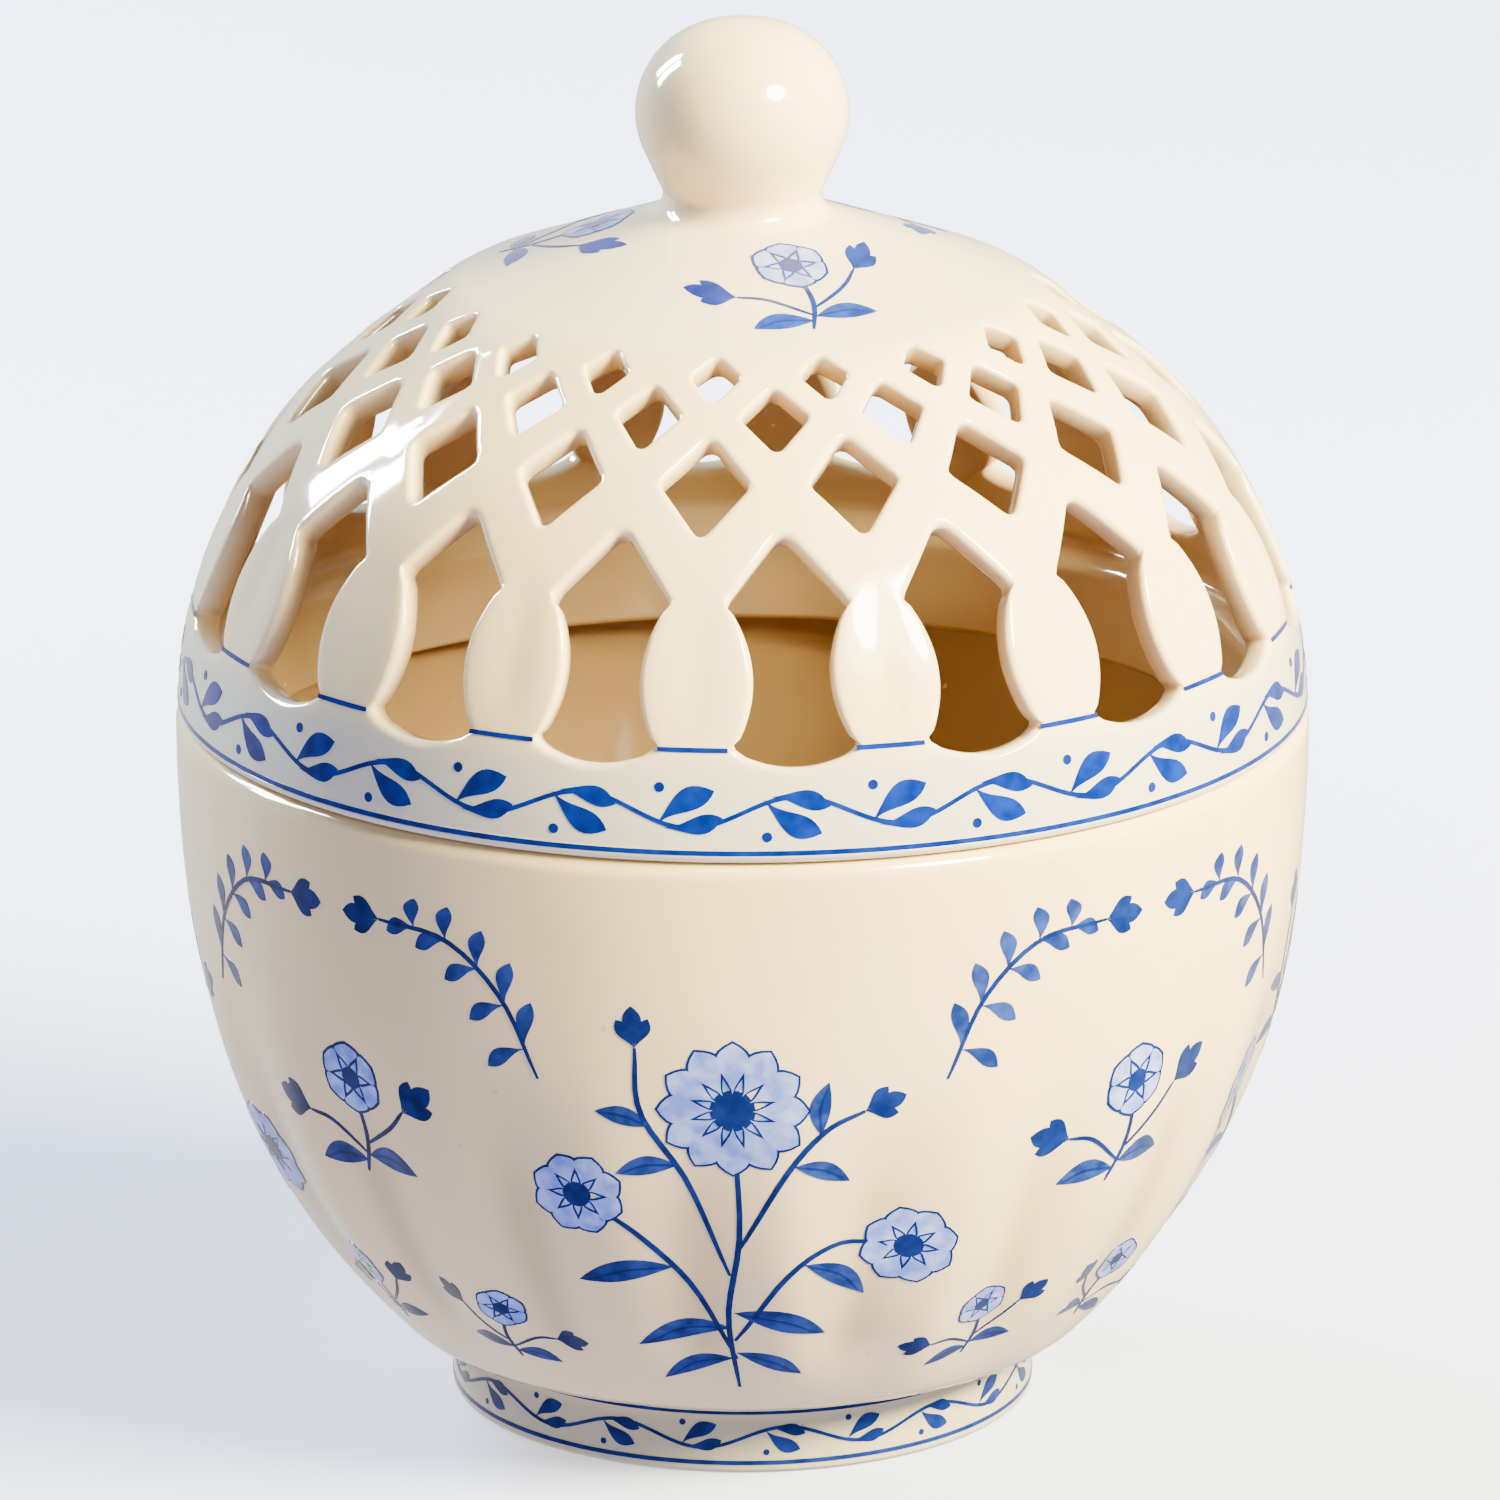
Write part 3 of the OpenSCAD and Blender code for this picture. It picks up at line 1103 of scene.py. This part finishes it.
    def cap_paths(self) -> tuple[list[Point], list[Point]]:
        """Paths of the cap above the lattice.

        Returns:
            The path over the cap to the axis, and the path back under it.
        """
        top, end = self.top, self.outline.length
        under = self.cap_height - self.wall
        outer = [self.outline.under(top + (end - top) * k / 12, 0.0) for k in range(1, 13)]
        outer += [(self.flat_radius * s, self.cap_height) for s in (0.6, 0.3)]
        outer.append((self.pin, self.cap_height))
        start = end - self.cap_back
        back = [self.outline.under(start + (top - start) * k / 6, self.wall) for k in range(7)]
        reach, rise = back[0][0], back[0][1] - under
        inner = [(reach * s, under + rise * s * s) for s in (0.3, 0.6, 0.85)]
        return outer, [(self.pin, under)] + inner + back

    def build(self, glaze: Material) -> None:
        """Builds the lid, which stands for the CAD lid, and dresses it.

        Args:
            glaze: Material of the lid.
        """
        bm = bmesh.new()
        for name in (INSIDE, BAND):
            bm.verts.layers.float.new(name)
        openings, pairs = self.openings(), self.spokes()
        for k in range(self.posts):
            for row, spokes in pairs.items():
                axis = self.turn + 2.0 * self.half * k + self.half * row.value[1]
                self.collar(bm, axis, spokes, openings[row])
        bmesh.ops.remove_doubles(bm, verts=bm.verts, dist=LATTICE_WELD)
        self.extend(bm, self.foot, *self.band_paths())
        self.extend(bm, self.top, *self.cap_paths())
        band = bm.verts.layers.float[BAND]
        for vert in bm.verts:
            # The lower band gets the cooler band colour in full; the cap gets part of it, where it is
            # painted shade.
            crown = self.crown_tone * smoothstep(self.high - 2.0, self.high + 1.0, vert.co.z)
            vert[band] = max(crown, smoothstep(self.low + 2.0, self.low - 1.0, vert.co.z))
        bmesh.ops.recalc_face_normals(bm, faces=bm.faces)
        LOG.info("lid: %d faces, %d open edges", len(bm.faces), sum(e.is_boundary for e in bm.edges))
        self.dress(make_object("glazed_lid", bm, [glaze]), Body.LID, "lid_glaze", "lid")


@dataclass
class Knob(Ware):
    """Ball knob on a short neck, luted to the cap.

    Attributes:
        base, sink: Height of the cap's flat, and depth to which the knob is luted into it.
        neck, neck_height: Radius of the neck, and its height above the cap.
        spread: How far the clay spreads around the neck's foot.
        ball_side, ball_crown: Radius of the ball's side and of its flatter crown.
        crown_angle: Angle from the vertical at which the crown passes into the side.
        ball_height: Height of the ball's middle above the cap.
        taper_angle: Angle below the middle at which the ball tapers to the neck.
        steps: Steps of the full turn.
    """

    base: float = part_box("knob")[0].z / MM
    sink: float = 0.7
    neck: float = 8.6
    neck_height: float = 1.6
    spread: float = 2.3
    ball_side: float = 10.2
    ball_crown: float = 16.0
    crown_angle: float = 16.7
    ball_height: float = 11.0
    taper_angle: float = 24.5
    steps: int = 128

    def section(self) -> list[Point]:
        """Section of the knob.

        Returns:
            Radius and height from the axis at the foot round to the axis at the crown.
        """
        offset = self.ball_crown - self.ball_side
        tilt = math.radians(self.crown_angle)
        middle = (offset * math.sin(tilt), self.base + self.ball_height)
        crown = (0.0, middle[1] - offset * math.cos(tilt))
        side = arc(middle, self.ball_side, -self.taper_angle, 90.0 - self.crown_angle, 26)
        top = arc(crown, self.ball_crown, 90.0 - self.crown_angle, 90.0, 8)
        neck = self.neck, self.base + self.neck_height
        foot = self.neck + self.spread, self.base - 0.64
        corner = self.neck + 0.1, self.base + 0.15
        waist = blend(neck, side[0], 0.1)
        shares = [k / 14 for k in range(15)]
        flare = [blend(blend(foot, corner, t), blend(corner, waist, t), t) for t in shares]
        taper = [blend(neck, side[0], t / 10) for t in range(2, 10)]
        under = self.base - self.sink
        return [(0.0, under), (foot[0] - 1.0, under)] + flare + taper + side + top[1:]

    def build(self, glaze: Material) -> None:
        """Builds the knob, which stands for the CAD knob, and dresses it.

        Args:
            glaze: Material of the knob.
        """
        bm = bmesh.new()
        turn_section(bm, self.section(), self.steps)
        self.dress(make_object("glazed_knob", bm, [glaze]), Body.LID, "knob_glaze", "knob")


@dataclass
class Brush:
    """Draws print on a turned surface, in offsets to the right and upwards from an anchor.

    Attributes:
        bm, surface: Mesh that gets the print, and surface that carries it.
        angle, walk: Angle and walk of the anchor.
        scale, turn: Scale of what is drawn, and its turn anticlockwise.
        flip: -1 to mirror it, or 1.
        outline: Width of a petal's outline.
    """

    bm: Mesh
    surface: Surface
    angle: float
    walk: float
    scale: float = 1.0
    turn: float = 0.0
    flip: int = 1
    outline: float = 0.27

    def place(self, point: Point, ink: Ink) -> Vector:
        """Point on the surface.

        Args:
            point: Offsets from the anchor.
            ink: Ink, which says how high the film lies.

        Returns:
            The point.
        """
        turn = math.radians(self.turn)
        x, y = point[0] * self.scale * self.flip, point[1] * self.scale
        along = x * math.cos(turn) - y * math.sin(turn)
        walked = self.walk + x * math.sin(turn) + y * math.cos(turn)
        angle = self.angle + math.degrees(along / self.surface.radius(walked))
        return self.surface.place(angle, walked, ink.value[1])

    def patch(self, along: int, across: int, shape: Callable[[float, float], Point], ink: Ink) -> None:
        """Lays a grid on the surface.

        Args:
            along: Steps of the first parameter.
            across: Steps of the second parameter.
            shape: Offsets at two parameters from 0 to 1.
            ink: Ink of the patch.
        """
        made = bmesh.ops.create_grid(self.bm, x_segments=along, y_segments=across, size=1.0)["verts"]
        for vert in made:
            vert.co = self.place(shape((vert.co.x + 1.0) / 2.0, (vert.co.y + 1.0) / 2.0), ink)
        faces = {face for vert in made for face in vert.link_faces}
        bmesh.ops.remove_doubles(self.bm, verts=made, dist=WELD)
        for face in [f for f in faces if f.is_valid]:
            face.material_index = ink.value[0]
            face.normal_update()
            middle = face.calc_center_median()
            if face.normal.dot(Vector((middle.x, middle.y, 0.3 * middle.z))) < 0.0:
                face.normal_flip()

    def stroke(self, knots: Sequence[Point], width: float, ends: float = 0.5) -> None:
        """Draws a line through knots.

        Args:
            knots: Points of the line.
            width: Width of its middle.
            ends: Share of the width left at its ends.
        """
        def shape(u: float, v: float) -> Point:
            """Point of the ribbon at the shares u of its length and v of its width."""
            a, b = curve(knots, max(u - 0.01, 0.0)), curve(knots, min(u + 0.01, 1.0))
            length = math.hypot(b[0] - a[0], b[1] - a[1]) or 1.0
            half = width * (v - 0.5) * (ends + (1.0 - ends) * math.sin(math.pi * u) ** 0.5)
            p = curve(knots, u)
            return (p[0] - (b[1] - a[1]) / length * half, p[1] + (b[0] - a[0]) / length * half)

        self.patch(4 * (len(knots) - 1) + 2, 1, shape, Ink.LINE)

    def drop(self, tip: Point, end: Point, width: float, ink: Ink = Ink.LEAF, bend: float = 0.0,
             fullest: float = 0.66) -> None:
        """Draws a drop that starts at a point and ends round.

        Args:
            tip: Pointed end.
            end: Round end.
            width: Greatest width.
            ink: Ink of the drop.
            bend: How far the drop bows to the left.
            fullest: Share of the length at which it is widest.
        """
        power = math.log(0.5) / math.log(fullest)

        def shape(u: float, v: float) -> Point:
            """Point of the drop at the shares u of its length and v of its width."""
            half = width * (v - 0.5) * math.sin(math.pi * u ** power) ** 0.9
            return beside(tip, end, u, bend * 4.0 * u * (1.0 - u) + half)

        self.patch(12, 2, shape, ink)

    def dot(self, centre: Point, radius: float, ink: Ink) -> None:
        """Draws a dot of a radius around a centre."""
        self.patch(14, 1, lambda u, v: on_circle(centre, radius * v, FULL_TURN * u), ink)

    def daisy(self, centre: Point, radius: float, petals: int, first: float = 90.0) -> None:
        """Draws a daisy of outlined petals around an eye.

        Args:
            centre: Middle of the flower.
            radius: Radius of the flower.
            petals: Number of petals.
            first: Direction of the first petal.
        """
        width = 2.0 * radius * math.sin(math.pi / petals) * 0.94
        fill = width - 2.0 * self.outline
        self.dot(centre, radius * 0.55, Ink.WASH)
        for k in range(petals):
            end = on_circle(centre, radius, first + FULL_TURN * k / petals)
            tip = blend(centre, end, 0.2)
            line = self.outline / math.dist(tip, end)
            self.drop(tip, end, width, Ink.LINE)
            self.drop(blend(tip, end, 1.5 * line), blend(tip, end, 1.0 - line), fill, Ink.FILL)
            self.stroke([blend(tip, end, t) for t in (0.24, 0.42, 0.62)], 0.22)
        self.dot(centre, radius * 0.3, Ink.EYE)

    def leaf(self, base: Point, end: Point, width: float, bend: float) -> None:
        """Draws a pointed leaf with a midrib, from its base at a stem to its end, bowed to the left."""
        self.drop(base, end, width, Ink.LEAF, bend, 0.5)
        self.stroke([base, beside(base, end, 0.5, bend), blend(base, end, 0.9)], 0.3)

    def bud(self, base: Point, turn: float) -> None:
        """Draws a closed bud of three drops from its base in the direction turn."""
        for swing, length, width in ((-28.0, 3.4, 1.4), (28.0, 3.4, 1.4), (0.0, 4.4, 1.9)):
            self.drop(base, on_circle(base, length, turn + swing), width, Ink.LINE)

    def ring(self, width: float, wave: Callable[[float], float] = lambda angle: 0.0,
             steps: int = 360) -> None:
        """Draws a closed line around the surface, level with the anchor.

        Args:
            width: Width of the line.
            wave: Rise of the line at an angle.
            steps: Number of steps.
        """
        made = bmesh.ops.create_grid(self.bm, x_segments=steps, y_segments=1, size=1.0)["verts"]
        for vert in made:
            angle = FULL_TURN / 2.0 * vert.co.x
            up = self.walk + wave(angle) + width * 0.5 * vert.co.y
            vert.co = self.surface.place(angle, up, Ink.LINE.value[1])
        bmesh.ops.remove_doubles(self.bm, verts=made, dist=WELD)

    def vine(self, width: float, rise: float, waves: int) -> None:
        """Draws a running vine around the surface, with leaves in its bends.

        Args:
            width: Width of the vine.
            rise: Rise of its waves.
            waves: Number of waves.
        """
        self.ring(width, lambda angle: rise * math.sin(math.radians(waves * angle)), waves * 28)
        for k in range(waves * 2):
            side = 1 if k % 2 else -1
            bend = replace(self, angle=FULL_TURN / waves * (0.25 + 0.5 * k))
            bend.drop((-2.6, -1.1 * side), (2.1, 1.8 * side), 2.0, Ink.LINE, 0.5 * side)
            bend.drop((-2.0, -1.3 * side), (2.8, -0.4 * side), 1.6, Ink.LINE, -0.3 * side)
            bend.dot((-2.4, 2.0 * side), 0.42, Ink.LINE)

    def spray(self) -> None:
        """Draws a large upright flower spray."""
        stems = (
            [(0.4, -26.0), (-0.6, -14.0), (0.6, -2.0), (0.0, 12.0)],
            [(0.2, -21.0), (-4.0, -10.0), (-9.0, -3.0), (-13.5, 1.0)],
            [(0.0, -18.0), (5.0, -8.0), (10.0, -4.0), (15.0, -4.5)],
            [(-0.4, -8.0), (-4.5, 4.0), (-9.0, 12.0), (-9.5, 19.0)],
            [(0.2, -5.0), (5.0, 5.0), (9.0, 10.0), (13.0, 12.0)],
        )
        for stem in stems:
            self.stroke(stem, 0.62)
        leaves = (
            (-0.4, -16.0, -9.5, -18.5, 3.0, -1.0), (0.0, -13.5, 9.0, -17.0, 3.0, 1.0),
            (-0.2, -21.0, -7.0, -24.5, 2.4, -0.8), (0.2, -20.0, 6.5, -23.5, 2.4, 0.8),
            (-6.0, -7.0, -15.5, -9.5, 2.8, -0.9), (7.0, -6.2, 13.0, -11.5, 2.6, 0.8),
            (-5.5, 6.0, -11.5, 5.0, 2.2, -0.5), (-8.2, 10.5, -13.5, 12.0, 2.0, -0.4),
            (6.0, 6.2, 11.5, 4.0, 2.1, 0.5), (8.6, 9.7, 9.4, 15.5, 2.1, 0.5),
        )
        for x0, y0, x1, y1, width, bend in leaves:
            self.leaf((x0, y0), (x1, y1), width, bend)
        self.daisy((0.0, 12.5), 7.6, 12)
        self.daisy((-15.5, 2.0), 5.0, 8, 70.0)
        self.daisy((17.5, -5.0), 5.2, 8, 100.0)
        self.bud(stems[3][-1], 95.0)
        self.bud(stems[4][-1], 20.0)

    def sprig(self) -> None:
        """Draws a small sprig: one flower, two leaves and two buds."""
        left, right = (-6.0, -1.0), (5.5, 1.6)
        self.stroke([(-1.0, -6.0), (0.2, -2.0), (0.0, 2.5)], 0.45)
        self.stroke([(-0.4, -4.0), (-3.5, -1.5), left], 0.4)
        self.stroke([(0.0, -3.0), (3.5, -0.5), right], 0.4)
        self.leaf((-0.6, -4.8), (-6.0, -5.6), 2.2, -0.6)
        self.leaf((-0.2, -4.2), (5.4, -4.6), 2.2, 0.6)
        self.daisy((0.0, 3.4), 3.4, 6)
        self.bud(left, 165.0)
        self.bud(right, 40.0)

    def twig(self) -> None:
        """Draws an arched twig with paired leaves and a bud at its end."""
        knots = [(-11.0, -4.5), (-5.0, 1.0), (2.0, 3.0), (9.0, 0.5)]
        self.stroke(knots, 0.5)
        for k, share in enumerate((0.12, 0.3, 0.48, 0.66, 0.82)):
            x, y = curve(knots, share)
            size = 4.6 - 0.5 * k
            self.drop((x, y), (x + 1.2, y + size), 1.7, Ink.LEAF, -0.4)
            self.drop((x, y), (x + 2.6, y - size * 0.8), 1.6, Ink.LEAF, 0.4)
        self.bud(knots[-1], -25.0)


@dataclass
class VasePrint(Ware):
    """Blue print of the vase: vine bands, flower sprays and small sprigs.

    Attributes:
        bowl: The bowl that carries one piece of it.
        lid: The lid that carries the other.
        film: Thickness of the ink.
    """

    bowl: Bowl
    lid: Lid
    film: float = 0.05

    def finish(self, name: str, bm: Mesh, inks: Sequence[Material]) -> Piece:
        """Turns drawn films into closed thin plates.

        Args:
            name: Name of the piece.
            bm: Mesh with the films.
            inks: Materials of the inks.

        Returns:
            The piece.
        """
        for edge in bm.edges:
            edge.smooth = not edge.is_boundary
        piece = make_object(name, bm, inks)
        plate = piece.modifiers.new("film", "SOLIDIFY")
        plate.thickness = self.film * MM
        plate.offset = -1.0
        return piece

    def bowl_print(self, inks: Sequence[Material]) -> None:
        """Draws the print of the bowl and its foot, and dresses it.

        Args:
            inks: Materials of the inks.
        """
        bm = bmesh.new()
        face, foot = self.bowl.surface(), self.bowl.foot_surface()
        for turn in (0.0, 90.0, 180.0, 270.0):
            Brush(bm, face, turn - 1.0, 40.0, 1.12).spray()
            for side in (1, -1):
                Brush(bm, face, turn + 30.0 * side, 67.0, 1.2, 25.0 * side, side).twig()
            Brush(bm, face, turn + 45.0, 47.0, 1.35).sprig()
            for side in (1, -1):
                Brush(bm, face, turn + 33.0 * side, 19.0, 0.95, 10.0 * side, side).sprig()
        Brush(bm, foot, 0.0, 7.2).ring(0.4)
        Brush(bm, foot, 0.0, 1.3).ring(0.5)
        Brush(bm, foot, 0.0, 4.25, 0.85).vine(0.42, 1.2, 11)
        self.dress(self.finish("bowl_print", bm, inks), Body.BOWL, "bowl_glaze")

    def lid_print(self, inks: Sequence[Material]) -> None:
        """Draws the print of the lid, and dresses it.

        Args:
            inks: Materials of the inks.
        """
        bm = bmesh.new()
        face = self.lid.surface()
        Brush(bm, face, 0.0, 1.25).ring(0.55)
        Brush(bm, face, 0.0, 5.7, 1.32).vine(0.55, 1.7, 17)
        for k in range(self.lid.posts):
            brush = Brush(bm, face, self.lid.turn + FULL_TURN / self.lid.posts * k, 12.4)
            brush.stroke([(x, 0.0) for x in (-3.8, -1.3, 1.3, 3.8)], 0.55, 0.9)
        for turn in (19.0, 139.0, 259.0):
            Brush(bm, face, turn, face.outline.length - 12.0, 1.3).sprig()
        self.dress(self.finish("lid_print", bm, inks), Body.LID, "lid_glaze")


@dataclass(frozen=True)
class SoftBox:
    """Soft box that faces the vase.

    Attributes:
        name: Name of the light.
        place: Angle from the front and elevation of the box, seen from the vase.
        distance, size: Distance from the vase, and width and height.
        power, colour: Power in watts, and linear colour.
        lamp, form: What the box does, and its outline.
    """

    name: str
    place: Point
    distance: float
    size: Point
    power: float
    colour: Colour = WHITE
    lamp: Lamp = Lamp.SHINE
    form: Form = Form.PANEL

    def hang(self, height: float) -> None:
        """Hangs the box.

        Args:
            height: Height on the vase that the box faces.
        """
        lift = math.radians(self.place[1])
        aim = around(self.place[0], math.cos(lift), math.sin(lift))
        data = bpy.data.lights.new(self.name, "AREA")
        data.shape = self.form.value
        data.size, data.size_y = self.size[0] * MM, self.size[1] * MM
        data.energy = self.power
        data.color = self.colour
        light = bpy.data.objects.new(self.name, data)
        bpy.context.scene.collection.objects.link(light)
        light.location = (aim * self.distance + Vector((0.0, 0.0, height))) * MM
        light.rotation_euler = (-aim).to_track_quat("-Z", "Y").to_euler()
        light.visible_diffuse = self.lamp is Lamp.LIGHT
        light.visible_glossy = self.lamp is Lamp.SHINE


@dataclass
class Studio:
    """Pale floor, soft boxes, a white surround and the camera.

    Attributes:
        distance, elevation: Distance of the camera from the vase, and its elevation.
        lens: Focal length on a 36 mm sensor.
        aim: Height that the camera is levelled on.
        aside, below: Offset of the picture's middle to the right and downwards.
        floor: Half width of the floor.
        room: Surround that lights the ware: its colour below the horizon, which stands for light off a
            table, its colour above, and the rise at which the one has passed into the other.
        tent: Surround that the glaze mirrors, in the same form but from the front to the back.
    """

    distance: float = 1400.0
    elevation: float = 16.7
    lens: float = 300.0
    aim: float = 78.4
    aside: float = 0.84
    below: float = 4.0
    floor: float = 4000.0
    room: tuple[Colour, Colour, float] = ((1.72, 1.95, 4.2), (0.09, 0.13, 0.26), 0.12)
    tent: tuple[Colour, Colour, float] = ((0.12, 0.12, 0.12), (1.4, 1.4, 1.4), 1.0)

    def camera(self) -> None:
        """Sets the camera at the photograph's viewing angle."""
        lift = math.radians(self.elevation)
        away = Vector((0.0, -math.cos(lift), math.sin(lift)))
        up = Vector((0.0, math.sin(lift), math.cos(lift)))
        aim = Vector((self.aside, 0.0, self.aim)) - up * self.below
        eye = Vector((0.0, 0.0, self.aim)) + away * self.distance
        data = bpy.data.cameras.new("camera")
        data.lens = self.lens
        data.sensor_width = 36.0
        data.clip_start = 0.01
        camera = bpy.data.objects.new("camera", data)
        bpy.context.scene.collection.objects.link(camera)
        camera.location = eye * MM
        camera.rotation_euler = (aim - eye).to_track_quat("-Z", "Y").to_euler()
        bpy.context.scene.camera = camera

    def surround(self) -> None:
        """Sets the surround, which the glaze mirrors otherwise than it lights the ware."""
        world = bpy.data.worlds.new("studio")
        world.use_nodes = True
        graph = Graph(world.node_tree)
        rise = graph.add("SeparateXYZ", Vector=graph.add("TexCoord").outputs["Generated"])
        either = graph.add("MixShader", Fac=graph.add("LightPath").outputs["Is Glossy Ray"])
        for slot, axis, (low, high, top) in ((1, "Z", self.room), (2, "Y", self.tent)):
            shade = graph.ramp(rise.outputs[axis], ((0.0, low), (top, high)))
            glow = graph.add("Background", Color=shade)
            graph.feed(either, {slot: glow.outputs["Background"]})
        graph.feed(graph.tree.nodes["World Output"], {"Surface": either.outputs["Shader"]})
        bpy.context.scene.world = world

    def build(self) -> None:
        """Lays the floor and sets the lights."""
        bm = bmesh.new()
        bmesh.ops.create_grid(bm, x_segments=8, y_segments=8, size=self.floor)
        floor = make_object("studio_floor", bm, [PaleFloor().make()])
        floor.visible_diffuse = floor.visible_glossy = False
        warm, cool = (1.0, 0.975, 0.86), (0.75, 1.0, 1.7)
        round_shine = {"lamp": Lamp.SHINE, "form": Form.ROUND}
        boxes = (
            SoftBox("key_box", (63.0, 34.0), 1400.0, (700.0, 400.0), 236.0, warm, Lamp.LIGHT),
            SoftBox("left_box", (-134.0, 28.0), 1200.0, (400.0, 600.0), 45.0, cool, Lamp.LIGHT),
            SoftBox("front_shine", (45.0, 38.0), 1300.0, (410.0, 430.0), 66.0, **round_shine),
            SoftBox("front_halo", (43.0, 37.0), 1290.0, (700.0, 560.0), 20.0, **round_shine),
            SoftBox("left_pane_1", (-116.0, 30.0), 1200.0, (130.0, 500.0), 65.0),
            SoftBox("left_pane_2", (-127.0, 30.0), 1200.0, (130.0, 460.0), 60.0),
        )
        for box in boxes:
            box.hang(self.aim)
        self.surround()
        self.camera()


def main() -> None:
    """Builds the vase and its studio."""
    logging.basicConfig(level=logging.INFO)
    bowl, lid, knob = Bowl(), Lid(), Knob()
    bowl_inks = [
        CobaltPrint("bowl_line", (0.003, 0.012, 0.06), (0.008, 0.022, 0.1)).make(),
        CobaltPrint("bowl_leaf", (0.007, 0.019, 0.08), (0.025, 0.048, 0.15)).make(),
        CobaltPrint("bowl_wash", (0.14, 0.19, 0.38), (0.36, 0.38, 0.45)).make(),
    ]
    lid_inks = [
        CobaltPrint("lid_line", (0.001, 0.011, 0.09), (0.004, 0.022, 0.15)).make(),
        CobaltPrint("lid_leaf", (0.003, 0.017, 0.11), (0.014, 0.045, 0.21)).make(),
        CobaltPrint("lid_wash", (0.12, 0.2, 0.42), (0.34, 0.38, 0.48)).make(),
    ]
    # The inner colour here is painted shade inside the lid, and the bowl's inner colour below is painted
    # shade inside the bowl.
    pale = {"light": (0.84, 0.61, 0.255), "warm": (0.83, 0.585, 0.23), "inner": (0.53, 0.335, 0.12)}
    # The bowl's band colour is painted shade on its foot.
    bowl.build(IvoryGlaze("bowl_glaze", inner=(0.4, 0.23, 0.07), band=(0.48, 0.385, 0.17)).make())
    lid.build(IvoryGlaze("lid_glaze", **pale).make())
    knob.build(IvoryGlaze("knob_glaze", **pale).make())
    design = VasePrint(bowl, lid)
    design.bowl_print(bowl_inks)
    design.lid_print(lid_inks)
    Studio().build()


if __name__ == "__main__":
    main()
